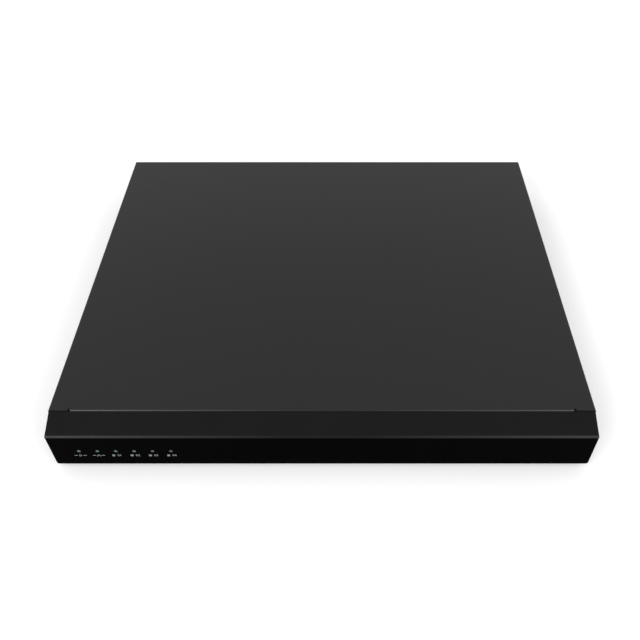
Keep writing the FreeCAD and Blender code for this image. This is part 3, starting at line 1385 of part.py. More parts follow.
def fan_screws():
    return group(screw(hx, Y_REAR, hz, "y", -1, 8.0) for x in X_FANS for hx, hz in fan_holes(x))


def fan_wires(side):
    """One lead of each fan, along the floor, over the board's edge and into its socket."""
    shapes = []
    shift = side * (FAN_WIRE_R + 0.05)
    for i, x in enumerate(X_FANS):
        hx, hy = fan_header_places()[i]
        start_x = x + FAN_SIZE / 2 - 4.0 + shift
        low = Z_FLOOR + 4.0 + shift
        high = Z_PARTS + 5.0 + shift
        edge = X_BOARD0 - 6.0 - 5.0 * (1 - i) + shift
        route = [(start_x, Y_FAN0, low), (start_x, Y_FAN0 - 13.0, low), (edge, Y_FAN0 - 30.0, low - 1.0),
                 (edge, hy + 12.0, low), (edge + 1.0, hy + shift, high), (hx - 3.5, hy + shift, high)]
        shapes.append(wire(route, FAN_WIRE_R, f"fan_wire_{i + 1}"))
    return group(shapes)


# ---- the whole recorder -----------------------------------------------------
def joined(*parts):
    """Several groups of like pieces as one node."""
    return group(solid for part in parts for solid in part.Solids)


def case_nodes():
    return {
        "chassis_base": chassis_base(),
        "front_plate": front_plate(),
        "rear_panel": rear_panel(),
        "top_cover": top_cover(),
        "rubber_feet": rubber_feet(),
        "case_screws": joined(foot_screws(), cover_screws(), flange_screws(), bezel_screws()),
    }


def front_nodes():
    return {
        "front_bezel": front_bezel(),
        "front_panel": fascia_panel(),
        "light_guides": light_guides(),
        "lamps_lit": indicator_lamps(X_LIGHTS[:LEDS_LIT]),
        "lamps_unlit": indicator_lamps(X_LIGHTS[LEDS_LIT:]),
        "light_board": light_board(),
        "light_ribbon": light_ribbon(),
    }


def drive_nodes():
    return {
        "drive_castings": drive_castings(),
        "drive_lids": drive_lids(),
        "drive_boards": drive_boards(),
        "drive_sockets": drive_sockets(),
        "drive_screws": joined(drive_screws(), drive_lid_screws()),
        "drive_grommets": drive_grommets(),
        "drive_plugs": joined(sata_plugs(), drive_power_plugs()),
        "sata_cables": sata_cables(),
    }


def board_nodes():
    return {
        "main_board": main_board(),
        "board_standoffs": standoffs(),
        "board_screws": joined(board_screws(), light_board_fixings()),
        "board_sockets": sata_sockets(),
        "board_headers": joined(power_headers(), lead_headers(), ribbon_headers()),
        "processor": processor(),
        "heatsink": heatsink(),
        "heatsink_pins": heatsink_pins(),
        "board_chips": joined(video_chips(), memory_chips()),
        "capacitors": capacitors(),
        "inductors": inductors(),
        "cell_holder": cell_holder(),
        "coin_cell": coin_cell(),
    }


def wire_nodes():
    return {
        "yellow_wires": power_wires([0]),
        "black_wires": joined(power_wires([1, 2]), fan_wires(-1), switch_wires()),
        "red_wires": joined(power_wires([3]), fan_wires(1)),
    }


def connector_nodes():
    return {
        "jack_blocks": joined(bnc_blocks(), group([audio_block()])),
        "jack_shells": joined(bnc_shells(), audio_shells()),
        "jack_insulators": joined(bnc_insulators(), audio_cores()),
        "socket_contacts": joined(bnc_contacts(), lan_contacts(), group([power_jack_pin()])),
        "audio_rings": audio_rings(),
        "vga_shell": vga_shell(),
        "vga_insert": vga_insert(),
        "rear_hardware": joined(vga_posts(), group([ground_screw(), ground_washer()])),
        "usb_shell": usb_shell(),
        "hdmi_shell": hdmi_shell(),
        "esata_shell": esata_shell(),
        "lan_shell": lan_shell(),
        "socket_tongues": joined(usb_tongues(), group([hdmi_tongue(), esata_tongue()])),
        "power_jack": power_jack(),
        "terminal_header": terminal_header(),
        "terminal_plug": terminal_plug(),
        "terminal_screws": terminal_screws(),
        "switch_frame": switch_frame(),
        "switch_rocker": rocker(),
    }


def fan_nodes():
    return {
        "fan_frames": fan_frames(),
        "left_fan_rotor": fan_rotor(X_FANS[1]),
        "right_fan_rotor": fan_rotor(X_FANS[0]),
        "fan_screws": fan_screws(),
    }


def build():
    nodes = {}
    for part in (case_nodes, front_nodes, drive_nodes, board_nodes, wire_nodes, connector_nodes,
                 fan_nodes):
        nodes.update(part())
    return nodes


def export(nodes):
    os.makedirs("parts", exist_ok=True)
    for name, shape in nodes.items():
        if not shape.isValid() or not shape.Solids:
            print("CHECK", name, "valid", shape.isValid(), "solids", len(shape.Solids))
        shape.exportStep(f"parts/{name}.step")
    print(len(nodes), "nodes,", sum(len(s.Solids) for s in nodes.values()), "solids")


if __name__ == "__main__":
    export(build())
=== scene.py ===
"""Looks of the video recorder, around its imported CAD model. Metres, +Z up, front facing -Y."""

import math
import random

import bmesh
import bpy
from mathutils import Matrix, Vector


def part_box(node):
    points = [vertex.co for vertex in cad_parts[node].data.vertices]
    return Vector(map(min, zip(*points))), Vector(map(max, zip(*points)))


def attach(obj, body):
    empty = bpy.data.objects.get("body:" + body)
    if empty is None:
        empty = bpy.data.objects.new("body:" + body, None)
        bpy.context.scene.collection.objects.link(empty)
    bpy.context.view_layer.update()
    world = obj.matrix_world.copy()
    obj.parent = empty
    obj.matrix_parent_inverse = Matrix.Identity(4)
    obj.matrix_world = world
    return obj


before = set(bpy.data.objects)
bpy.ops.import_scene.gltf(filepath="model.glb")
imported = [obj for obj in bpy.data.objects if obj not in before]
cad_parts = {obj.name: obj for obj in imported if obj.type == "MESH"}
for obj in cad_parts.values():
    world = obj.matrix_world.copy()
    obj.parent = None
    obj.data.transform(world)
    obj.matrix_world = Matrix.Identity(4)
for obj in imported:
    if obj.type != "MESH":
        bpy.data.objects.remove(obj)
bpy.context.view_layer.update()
MM = 0.001

# ---- places worked out from the frame ---------------------------------------
COVER_LO, COVER_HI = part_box("top_cover")
BEZEL_LO, BEZEL_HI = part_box("front_bezel")
PANEL_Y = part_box("front_panel")[0].y
CASE_LO, CASE_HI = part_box("chassis_base")
BOARD_LO, BOARD_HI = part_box("main_board")
Y_COVER = COVER_LO.y
Z_TOP = COVER_HI.z
Z_BASE = CASE_LO.z
Y_REAR = CASE_HI.y
BOARD_TOP = BOARD_HI.z
BEND_HALF = 203 * MM            # from the middle to the ends of the cover's front bend
BEND_HIGHLIGHT_Y = Y_COVER + 0.3 * MM     # back of the strip along that bend where a highlight is painted
RIDGE_HIGHLIGHT_Y = BEZEL_LO.y + 1.3 * MM # back of the strip along the front ridge where a highlight is painted
MARKS_Z = Z_BASE + 11.2 * MM    # middle of the marks under the lamps
LIT_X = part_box("lamps_lit")[1].x + 3 * MM


# ---- camera -----------------------------------------------------------------
CAMERA_RIGHT = 13.6 * MM        # of the middle of the recorder
CAMERA_AHEAD = 344.4 * MM       # of the cover's front edge
CAMERA_ABOVE = 458.6 * MM       # the top of the cover
CAMERA_DOWN = math.radians(45.83)
CAMERA_LENS = 39.94
CAMERA_SHIFT = -0.0297


def make_camera():
    data = bpy.data.cameras.new("camera")
    data.lens = CAMERA_LENS
    data.shift_x = CAMERA_SHIFT
    data.clip_start = 0.01
    data.clip_end = 50
    camera = bpy.data.objects.new("camera", data)
    camera.location = (CAMERA_RIGHT, Y_COVER - CAMERA_AHEAD, Z_TOP + CAMERA_ABOVE)
    camera.rotation_euler = (math.pi / 2 - CAMERA_DOWN, 0, 0)
    bpy.context.scene.collection.objects.link(camera)
    bpy.context.scene.camera = camera


# ---- node helpers -----------------------------------------------------------
class Surface:
    """A Principled material whose colour, roughness and bump come from procedural nodes."""

    def __init__(self, name, **values):
        self.material = bpy.data.materials.new(name)
        self.material.use_nodes = True
        self.nodes = self.material.node_tree.nodes
        self.links = self.material.node_tree.links
        self.shader = self.nodes["Principled BSDF"]
        self.place = self.nodes.new("ShaderNodeTexCoord").outputs["Object"]
        self.height = None
        for socket, value in values.items():
            self.shader.inputs[socket.replace("_", " ")].default_value = value

    def node(self, kind, **settings):
        made = self.nodes.new(kind)
        for key, value in settings.items():
            setattr(made, key, value)
        return made

    def join(self, out, socket):
        self.links.new(out, socket)
        return self

    def stretch(self, scale):
        """Object coordinates scaled by three numbers."""
        mapping = self.node("ShaderNodeMapping")
        mapping.inputs["Scale"].default_value = scale
        self.join(self.place, mapping.inputs["Vector"])
        return mapping.outputs["Vector"]

    def noise(self, scale, detail=3.0, rough=0.55, where=None):
        made = self.node("ShaderNodeTexNoise")
        made.inputs["Scale"].default_value = scale
        made.inputs["Detail"].default_value = detail
        made.inputs["Roughness"].default_value = rough
        self.join(where or self.place, made.inputs["Vector"])
        return made.outputs["Fac"]

    def cells(self, scale, feature="F1", distance="EUCLIDEAN", output="Distance", where=None):
        made = self.node("ShaderNodeTexVoronoi", feature=feature, distance=distance)
        made.inputs["Scale"].default_value = scale
        self.join(where or self.place, made.inputs["Vector"])
        return made.outputs[output]

    def band(self, value, low, high, bottom=0.0, top=1.0):
        """value mapped from low..high to bottom..top and clamped."""
        made = self.node("ShaderNodeMapRange")
        made.inputs["From Min"].default_value = low
        made.inputs["From Max"].default_value = high
        made.inputs["To Min"].default_value = bottom
        made.inputs["To Max"].default_value = top
        self.join(value, made.inputs["Value"])
        return made.outputs["Result"]

    def maths(self, operation, first, second):
        made = self.node("ShaderNodeMath", operation=operation)
        for socket, value in zip(made.inputs, (first, second)):
            if isinstance(value, (int, float)):
                socket.default_value = value
            else:
                self.join(value, socket)
        return made.outputs["Value"]

    def mix(self, share, first, second):
        """Colours mixed by a share; each is a tuple or a socket."""
        made = self.node("ShaderNodeMix", data_type="RGBA")
        for index, value in ((0, share), (6, first), (7, second)):
            socket = made.inputs[index]
            if isinstance(value, tuple):
                socket.default_value = (*value, 1.0)
            elif isinstance(value, (int, float)):
                socket.default_value = value
            else:
                self.join(value, socket)
        return made.outputs[2]

    def axis(self, letter):
        split = self.node("ShaderNodeSeparateXYZ")
        self.join(self.place, split.inputs[0])
        return split.outputs[letter]

    def painted_highlight_and_polish(self, y, half):
        """A strip in front of y, out to half from the middle, where a highlight is painted into the
        colour and the gloss is made smoother; faint near the middle.
        """
        front = self.band(self.axis("Y"), y, y + 0.5 * MM, 1.0, 0.0)
        from_middle = self.maths("ABSOLUTE", self.axis("X"), 0.0)
        # painted highlight: strong towards both ends, faint in the middle
        highlight_share = self.band(from_middle, 0.03, 0.21, 0.05, 1.0)
        inside = self.maths("LESS_THAN", from_middle, half)
        return self.maths("MULTIPLY", front, self.maths("MULTIPLY", highlight_share, inside))

    def colour(self, out):
        return self.join(out, self.shader.inputs["Base Color"])

    def roughness(self, out):
        return self.join(out, self.shader.inputs["Roughness"])

    def bump(self, height, distance, strength=1.0):
        """Adds a bump on top of those made before."""
        made = self.node("ShaderNodeBump")
        made.inputs["Strength"].default_value = strength
        made.inputs["Distance"].default_value = distance
        self.join(height, made.inputs["Height"])
        if self.height is not None:
            self.join(self.height, made.inputs["Normal"])
        self.height = made.outputs["Normal"]
        return self.join(self.height, self.shader.inputs["Normal"])


# ---- materials --------------------------------------------------------------
def powder_coat(name, base, spec=0.3, bend=None, half=0.0):
    """Fine dry powder coat: a close orange-peel texture with small changes of tone.

    In front of the place named by bend a highlight is painted in: the coat is paler there, and also
    smoother.
    """
    s = Surface(name, Specular_IOR_Level=spec)
    fine = s.noise(2600, 2)
    broad = s.noise(9, 3)
    dark = tuple(c * 0.93 for c in base)
    light = tuple(c * 1.08 for c in base)
    tone = s.mix(s.band(s.maths("ADD", fine, broad), 0.75, 1.25), dark, light)
    gloss = s.band(fine, 0.3, 0.7, 0.34, 0.44)
    if bend is not None:
        edge = s.painted_highlight_and_polish(bend, half)
        # painted highlight along the front bend: the colour turns paler there
        tone = s.mix(edge, tone, (0.065, 0.065, 0.065))
        gloss = s.maths("MULTIPLY", gloss, s.band(edge, 0, 1, 1.0, 0.55))
    s.colour(tone)
    s.roughness(gloss)
    s.bump(s.noise(900, 2), 0.00004, 0.35)
    s.bump(fine, 0.00003, 0.5)
    return s.material


def moulded(name, base, rough=0.45, spec=0.3, grain=1800, depth=0.00003, ridge=None):
    """Moulded plastic with a spark-eroded grain; in front of ridge a highlight is painted into its
    colour and the gloss is smoother.
    """
    s = Surface(name, Specular_IOR_Level=spec)
    grit = s.noise(grain, 2)
    cloud = s.noise(35, 2)
    dark = tuple(c * 0.86 for c in base)
    light = tuple(min(1.0, c * 1.12) for c in base)
    tone = s.mix(s.band(cloud, 0.3, 0.7), dark, light)
    gloss = s.band(grit, 0.3, 0.7, rough - 0.06, rough + 0.07)
    if ridge is not None:
        edge = s.painted_highlight_and_polish(ridge, BEZEL_HI.x)
        # painted highlight along the front ridge: the colour turns paler there
        tone = s.mix(edge, tone, (0.026, 0.026, 0.026))
        gloss = s.maths("MULTIPLY", gloss, s.band(edge, 0, 1, 1.0, 0.55))
    s.colour(tone)
    s.roughness(gloss)
    s.bump(grit, depth, 0.5)
    return s.material


def polished(name, base, rough=0.12, spec=0.12):
    """Polished plastic: faint wipe marks show only in its gloss."""
    s = Surface(name, Specular_IOR_Level=spec)
    wipes = s.noise(30, 4, 0.6, s.stretch((1.0, 1.0, 0.35)))
    s.colour(s.mix(s.band(wipes, 0.35, 0.75), base, tuple(c * 1.2 + 0.0001 for c in base)))
    s.roughness(s.band(wipes, 0.35, 0.75, rough - 0.03, rough + 0.05))
    s.bump(s.noise(240, 1), 0.00001, 0.1)
    return s.material


def plated(name, base, rough=0.22, grain=700):
    """Nickel, zinc or tin over metal: slightly uneven tone and gloss."""
    s = Surface(name, Metallic=1.0)
    cloud = s.noise(220, 3)
    s.colour(s.mix(s.band(cloud, 0.3, 0.7), tuple(c * 0.84 for c in base), base))
    s.roughness(s.band(s.noise(grain, 3), 0.3, 0.7, rough - 0.07, rough + 0.1))
    s.bump(s.noise(grain, 2), 0.00001, 0.25)
    return s.material


def brushed(name, base, along="x"):
    """Rolled sheet with fine lines along one axis."""
    s = Surface(name, Metallic=1.0)
    scale = {"x": (25, 2400, 25), "y": (2400, 25, 25)}[along]
    lines = s.noise(1.0, 3, 0.6, s.stretch(scale))
    s.colour(s.mix(s.band(lines, 0.3, 0.7), tuple(c * 0.88 for c in base), base))
    s.roughness(s.band(lines, 0.3, 0.7, 0.26, 0.4))
    s.bump(lines, 0.00001, 0.25)
    return s.material


def cast_metal(name, base):
    """Die-cast aluminium: a dull grainy skin."""
    s = Surface(name, Metallic=1.0)
    grain = s.noise(900, 4, 0.7)
    s.colour(s.mix(s.band(grain, 0.3, 0.7), tuple(c * 0.7 for c in base), base))
    s.roughness(s.band(s.noise(60, 3), 0.3, 0.7, 0.42, 0.6))
    s.bump(grain, 0.00004, 0.6)
    return s.material


def circuit_board(name):
    """Green solder mask over bundles of straight copper tracks, with small plated vias."""
    s = Surface(name, Specular_IOR_Level=0.5, Roughness=0.28)
    flat = s.stretch((1.0, 1.0, 0.0))

    def patches(scale):
        grey = s.node("ShaderNodeRGBToBW")
        s.join(s.cells(scale, distance="CHEBYCHEV", output="Color", where=flat), grey.inputs[0])
        return grey.outputs[0]

    def tracks(letter):
        wave = s.maths("SINE", s.maths("MULTIPLY", s.axis(letter), 5200), 0.0)
        return s.band(wave, 0.15, 0.35)

    ways = patches(70)
    along = s.maths("MULTIPLY", tracks("X"), s.band(ways, 0.5, 0.51))
    across = s.maths("MULTIPLY", tracks("Y"), s.band(ways, 0.39, 0.4, 1.0, 0.0))
    bundles = s.maths("MULTIPLY", s.maths("ADD", along, across), s.band(patches(130), 0.42, 0.43))
    pour = s.band(patches(28), 0.56, 0.57, 0.0, 0.35)
    copper = s.maths("MAXIMUM", bundles, pour)
    tone = s.mix(copper, (0.004, 0.075, 0.026), (0.014, 0.17, 0.055))
    vias = s.band(s.cells(330, where=flat), 0.1, 0.13, 1.0, 0.0)
    s.colour(s.mix(vias, tone, (0.3, 0.32, 0.25)))
    s.bump(copper, 0.00003, 0.6)
    return s.material


def soft_rubber(name, base):
    s = Surface(name, Specular_IOR_Level=0.25)
    fine = s.noise(1500, 3)
    dust = s.noise(120, 4)
    s.colour(s.mix(s.band(dust, 0.45, 0.8), base, tuple(c * 1.9 + 0.004 for c in base)))
    s.roughness(s.band(fine, 0.3, 0.7, 0.68, 0.85))
    s.bump(fine, 0.00005, 0.5)
    return s.material


def flat_cable(name, base, wires, across="x"):
    """Soft flat cable: shallow grooves between its wires."""
    s = Surface(name, Specular_IOR_Level=0.4)
    wave = s.maths("SINE", s.maths("MULTIPLY", s.axis(across.upper()), wires), 0.0)
    s.colour(s.mix(s.band(wave, -1, 1), tuple(c * 0.7 for c in base), base))
    s.roughness(s.band(s.noise(300, 3), 0.3, 0.7, 0.38, 0.5))
    s.bump(wave, 0.0001, 0.5)
    return s.material


def insulation(name, base):
    """PVC covering of a thin wire."""
    s = Surface(name, Specular_IOR_Level=0.45)
    cloud = s.noise(160, 3)
    s.colour(s.mix(s.band(cloud, 0.3, 0.7), tuple(c * 0.85 for c in base), base))
    s.roughness(s.band(cloud, 0.3, 0.7, 0.28, 0.4))
    s.bump(s.noise(900, 2), 0.00002, 0.3)
    return s.material


def can_wrap(name):
    """Capacitor can: bare aluminium with fine lines round it."""
    s = Surface(name, Metallic=1.0)
    lines = s.noise(1.0, 2, 0.5, s.stretch((40, 40, 1500)))
    s.colour(s.mix(s.band(lines, 0.3, 0.7), (0.5, 0.51, 0.53), (0.72, 0.73, 0.75)))
    s.roughness(s.band(lines, 0.3, 0.7, 0.25, 0.38))
    s.bump(lines, 0.00001, 0.2)
    return s.material


def lamp_plastic(name):
    """Frosted plastic that glows green in the lit lamps and is dull in the others."""
    s = Surface(name, Specular_IOR_Level=0.5, Roughness=0.35)
    lit = s.maths("LESS_THAN", s.axis("X"), LIT_X)
    frost = s.noise(900, 3)
    s.colour(s.mix(lit, s.mix(frost, (0.035, 0.037, 0.035), (0.06, 0.062, 0.06)),
                   s.mix(frost, (0.025, 0.06, 0.032), (0.04, 0.09, 0.048))))
    s.join(s.mix(lit, (0.0, 0.0, 0.0), s.mix(frost, (0.05, 0.17, 0.075), (0.075, 0.24, 0.11))),
           s.shader.inputs["Emission Color"])
    s.shader.inputs["Emission Strength"].default_value = 0.15
    s.bump(frost, 0.00003, 0.4)
    return s.material


def ink(name, base):
    """Screen-printed ink with slightly broken edges of tone."""
    s = Surface(name, Specular_IOR_Level=0.2)
    fleck = s.noise(2500, 3)
    s.colour(s.mix(s.band(fleck, 0.35, 0.6), tuple(c * 0.8 for c in base), base))
    s.roughness(s.band(fleck, 0.3, 0.7, 0.5, 0.65))
    s.bump(fleck, 0.00001, 0.2)
    return s.material


# ---- finishes of the CAD nodes ----------------------------------------------
def dress(material, *names):
    for name in names:
        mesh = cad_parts[name].data
        mesh.materials.clear()
        mesh.materials.append(material)


STEEL = plated("screw_steel", (0.66, 0.66, 0.64), 0.3)
NICKEL = plated("nickel", (0.62, 0.6, 0.56), 0.2)
GOLD = plated("gold", (0.8, 0.56, 0.2), 0.2)
SOLDER = plated("solder", (0.62, 0.62, 0.6), 0.28)
CHIP = moulded("chip_black", (0.016, 0.016, 0.017), 0.5, 0.35, 2400)
BLACK = moulded("black_plastic", (0.012, 0.012, 0.012), 0.42, 0.35)
NYLON = moulded("white_plastic", (0.66, 0.64, 0.56), 0.45, 0.4)
INK = ink("print_grey", (0.3, 0.3, 0.3))
GREEN_BOARD = circuit_board("board_green")


def dress_all():
    # the cover paint carries a painted highlight along its front bend
    dress(powder_coat("cover_paint", (0.006, 0.006, 0.006), bend=BEND_HIGHLIGHT_Y, half=BEND_HALF),
          "top_cover")
    dress(powder_coat("case_steel", (0.0095, 0.0095, 0.0097)), "chassis_base", "rear_panel",
          "front_plate")
    # the bezel plastic carries a painted highlight along its front ridge
    dress(moulded("bezel_plastic", (0.0024, 0.0024, 0.0024), 0.42, 0.13, 1500, 0.00006, RIDGE_HIGHLIGHT_Y),
          "front_bezel")
    dress(polished("gloss_panel", (0.0006, 0.0006, 0.0006), 0.1, 0.004), "front_panel")
    dress(lamp_plastic("clear_guide"), "light_guides")
    dress(lamp_plastic("lamp_green"), "lamps_lit")
    dress(moulded("lamp_off", (0.42, 0.42, 0.4), 0.35, 0.5), "lamps_unlit")
    dress(GREEN_BOARD, "light_board", "main_board", "drive_boards")
    dress(flat_cable("ribbon_grey", (0.4, 0.41, 0.43), 4900, "z"), "light_ribbon")
    dress(cast_metal("drive_cast", (0.3, 0.3, 0.31)), "drive_castings")
    dress(brushed("drive_lid", (0.7, 0.71, 0.72)), "drive_lids")
    dress(soft_rubber("foot_rubber", (0.013, 0.013, 0.013)), "rubber_feet", "drive_grommets")
    dress(plated("screw_black", (0.06, 0.06, 0.062), 0.38), "case_screws", "fan_screws")
    dress(STEEL, "drive_screws", "board_screws", "rear_hardware", "terminal_screws")
    dress(BLACK, "drive_sockets", "drive_plugs", "board_sockets", "cell_holder", "jack_blocks",
          "socket_tongues", "power_jack", "switch_frame")
    dress(flat_cable("cable_red", (0.42, 0.016, 0.012), 1570), "sata_cables")
    dress(plated("brass", (0.7, 0.5, 0.2), 0.3), "board_standoffs")
    dress(NYLON, "board_headers", "heatsink_pins")
    dress(CHIP, "processor", "board_chips", "inductors")
    dress(brushed("heatsink_metal", (0.09, 0.09, 0.1), "y"), "heatsink")
    dress(can_wrap("can_metal"), "capacitors")
    dress(NICKEL, "coin_cell", "jack_shells", "vga_shell", "usb_shell", "hdmi_shell", "esata_shell",
          "lan_shell")
    dress(insulation("wire_yellow", (0.72, 0.48, 0.03)), "yellow_wires")
    dress(insulation("wire_black", (0.01, 0.01, 0.01)), "black_wires")
    dress(insulation("wire_red", (0.5, 0.014, 0.01)), "red_wires")
    dress(moulded("audio_white", (0.7, 0.7, 0.67), 0.35, 0.5), "jack_insulators", "audio_rings")
    dress(GOLD, "socket_contacts")
    dress(moulded("connector_blue", (0.01, 0.045, 0.3), 0.4, 0.4), "vga_insert")
    dress(moulded("terminal_green", (0.018, 0.22, 0.06), 0.4, 0.4), "terminal_header",
          "terminal_plug")
    dress(polished("rocker_black", (0.01, 0.01, 0.01), 0.25, 0.45), "switch_rocker")
    dress(moulded("fan_black", (0.014, 0.014, 0.014), 0.4, 0.4), "fan_frames", "left_fan_rotor",
          "right_fan_rotor")


# ---- pieces added to the CAD nodes ------------------------------------------
class Bits:
    """Like shapes gathered into one object that rides on a body."""

    def __init__(self, name, material, slot, body="case"):
        self.name, self.material, self.slot, self.body = name, material, slot, body
        self.mesh = bmesh.new()

    def box(self, lo, hi, bevel=0.0):
        corners = [(x, y, z) for x in (lo[0], hi[0]) for y in (lo[1], hi[1])
                   for z in (lo[2], hi[2])]
        v = [self.mesh.verts.new(c) for c in corners]
        order = ((0, 1, 3, 2), (4, 6, 7, 5), (0, 4, 5, 1), (2, 3, 7, 6), (0, 2, 6, 4),
                 (1, 5, 7, 3))
        faces = [self.mesh.faces.new([v[i] for i in f]) for f in order]
        if bevel:
            edges = list({e for f in faces for e in f.edges})
            bmesh.ops.bevel(self.mesh, geom=edges, offset=bevel, segments=2, profile=0.5,
                            affect="EDGES")
        return self

    def around(self, x, y, z, w, d, h, bevel=0.0):
        """A box standing on (x, y, z)."""
        return self.box((x - w / 2, y - d / 2, z), (x + w / 2, y + d / 2, z + h), bevel)

    def prism(self, plane, outline, thick, lift=0.0):
        """An outline in a plane, given thickness outwards."""
        low = [self.mesh.verts.new(plane @ Vector((u, v, lift))) for u, v in outline]
        high = [self.mesh.verts.new(plane @ Vector((u, v, lift + thick))) for u, v in outline]
        n = len(outline)
        self.mesh.faces.new(low[::-1])
        self.mesh.faces.new(high)
        for i in range(n):
            j = (i + 1) % n
            self.mesh.faces.new((low[i], low[j], high[j], high[i]))
        return self

    def band(self, plane, outer, inner, thick, lift=0.0):
        """A closed band between two outlines with the same number of points."""
        top = lift + thick
        rows = [[self.mesh.verts.new(plane @ Vector((u, v, w))) for u, v in line]
                for line, w in ((outer, lift), (outer, top), (inner, top), (inner, lift))]
        n = len(outer)
        for i in range(n):
            j = (i + 1) % n
            for a, b in zip(rows, rows[1:] + rows[:1]):
                self.mesh.faces.new((a[i], a[j], b[j], b[i]))
        return self

    def text(self, plane, words, size, u, v, thick):
        """Digits centred on (u, v), size high."""
        curve = bpy.data.curves.new("words", "FONT")
        curve.body = words
        curve.size = size / 0.72
        curve.extrude = thick / 2
        curve.resolution_u = 3
        curve.align_x = "CENTER"
        curve.align_y = "CENTER"
        carrier = bpy.data.objects.new("words", curve)
        bpy.context.scene.collection.objects.link(carrier)
        depsgraph = bpy.context.evaluated_depsgraph_get()
        flat = bpy.data.meshes.new_from_object(carrier.evaluated_get(depsgraph))
        flat.transform(plane @ Matrix.Translation((u, v, thick / 2)))
        self.mesh.from_mesh(flat)
        bpy.data.objects.remove(carrier)
        bpy.data.curves.remove(curve)
        bpy.data.meshes.remove(flat)
        return self

    def line(self, plane, start, end, wide, thick):
        a, b = Vector(start), Vector(end)
        side = (b - a).normalized().orthogonal() * wide / 2
        return self.prism(plane, [a - side, b - side, b + side, a + side], thick)

    def done(self):
        bmesh.ops.recalc_face_normals(self.mesh, faces=self.mesh.faces)
        data = bpy.data.meshes.new(self.name)
        self.mesh.to_mesh(data)
        self.mesh.free()
        data.materials.append(self.material)
        piece = bpy.data.objects.new(self.name, data)
        bpy.context.scene.collection.objects.link(piece)
        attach(piece, self.body)
        return piece


def circle(u, v, r, count=28, start=0.0, sweep=2 * math.pi):
    full = abs(sweep - 2 * math.pi) < 1e-6
    steps = count if full else count - 1
    angles = [start + sweep * i / steps for i in range(count)]
    return [(u + r * math.cos(angle), v + r * math.sin(angle)) for angle in angles]


def rounded(u, v, w, h, r, steps=4):
    """A rounded rectangle centred on (u, v)."""
    points = []
    for k, (su, sv) in enumerate(((1, 1), (-1, 1), (-1, -1), (1, -1))):
        for i in range(steps + 1):
            angle = math.pi / 2 * (k + i / steps)
            points.append((u + su * (w / 2 - r) + r * math.cos(angle),
                           v + sv * (h / 2 - r) + r * math.sin(angle)))
    return points


def plane_at(x, y, z, facing):
    """A drawing plane whose first axis runs to the reader's right and second one up the sheet."""
    right, up = {"front": ((1, 0, 0), (0, 0, 1)), "rear": ((-1, 0, 0), (0, 0, 1)),
                 "top": ((1, 0, 0), (0, 1, 0)), "under": ((1, 0, 0), (0, -1, 0))}[facing]
    right, up = Vector(right), Vector(up)
    out = right.cross(up)
    turn = Matrix((right, up, out)).transposed().to_4x4()
    return Matrix.Translation((x, y, z)) @ turn


def islands(name):
    """Boxes of the separate solids of a CAD node, as (low, high) corners in metres."""
    mesh = bmesh.new()
    mesh.from_mesh(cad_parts[name].data)
    bmesh.ops.remove_doubles(mesh, verts=mesh.verts, dist=1e-6)
    seen = set()
    boxes = []
    for first in mesh.verts:
        if first.index in seen:
            continue
        seen.add(first.index)
        todo = [first]
        lo, hi = first.co.copy(), first.co.copy()
        while todo:
            vert = todo.pop()
            lo = Vector(map(min, lo, vert.co))
            hi = Vector(map(max, hi, vert.co))
            for edge in vert.link_edges:
                other = edge.other_vert(vert)
                if other.index not in seen:
                    seen.add(other.index)
                    todo.append(other)
        boxes.append((lo, hi))
    mesh.free()
    return sorted(boxes, key=lambda b: (round(b[0].x, 5), round(b[0].y, 5), round(b[0].z, 5)))


INK_T = 0.04 * MM


# ---- small generic marks ----------------------------------------------------
def mark_power(bits, plane, u, v, h):
    r, w = h * 0.42, h * 0.13
    gap = 0.6
    start, sweep = math.pi / 2 + gap, 2 * math.pi - 2 * gap
    outer = circle(u, v, r + w / 2, 20, start, sweep)
    inner = circle(u, v, r - w / 2, 20, start, sweep)
    bits.prism(plane, outer + inner[::-1], INK_T)
    bits.line(plane, (u, v), (u, v + h * 0.5), w, INK_T)


def mark_disk(bits, plane, u, v, h):
    """A stack of disks seen from the side."""
    for row in (-1, 0, 1):
        bits.prism(plane, rounded(u, v + row * h * 0.34, h * 0.95, h * 0.22, h * 0.1), INK_T)


def mark_link(bits, plane, u, v, h):
    """Three boxes joined by lines."""
    s = h * 0.3
    for du, dv in ((0, 0.34), (-0.5, -0.34), (0.5, -0.34)):
        bits.prism(plane, rounded(u + du * h, v + dv * h, s, s, s * 0.1), INK_T)
    bits.line(plane, (u - h * 0.5, v), (u + h * 0.5, v), h * 0.1, INK_T)
    for du, end in ((0, 0.2), (-0.46, -0.2), (0.46, -0.2)):
        bits.line(plane, (u + du * h, v), (u + du * h, v + end * h), h * 0.1, INK_T)


def mark_screen(bits, plane, u, v, h):
    bits.band(plane, rounded(u, v + h * 0.1, h * 1.25, h * 0.8, h * 0.08),
              rounded(u, v + h * 0.1, h * 1.05, h * 0.6, h * 0.04), INK_T)
    bits.line(plane, (u - h * 0.3, v - h * 0.45), (u + h * 0.3, v - h * 0.45), h * 0.12, INK_T)


def mark_speaker(bits, plane, u, v, h):
    body = [(-0.5, -0.16), (-0.25, -0.16), (0.05, -0.42), (0.05, 0.42), (-0.25, 0.16), (-0.5, 0.16)]
    bits.prism(plane, [(u + a * h, v + b * h) for a, b in body], INK_T)
    for r in (0.3, 0.5):
        outer = circle(u, v, (r + 0.05) * h, 9, -0.7, 1.4)
        inner = circle(u, v, (r - 0.05) * h, 9, -0.7, 1.4)
        bits.prism(plane, outer + inner[::-1], INK_T)


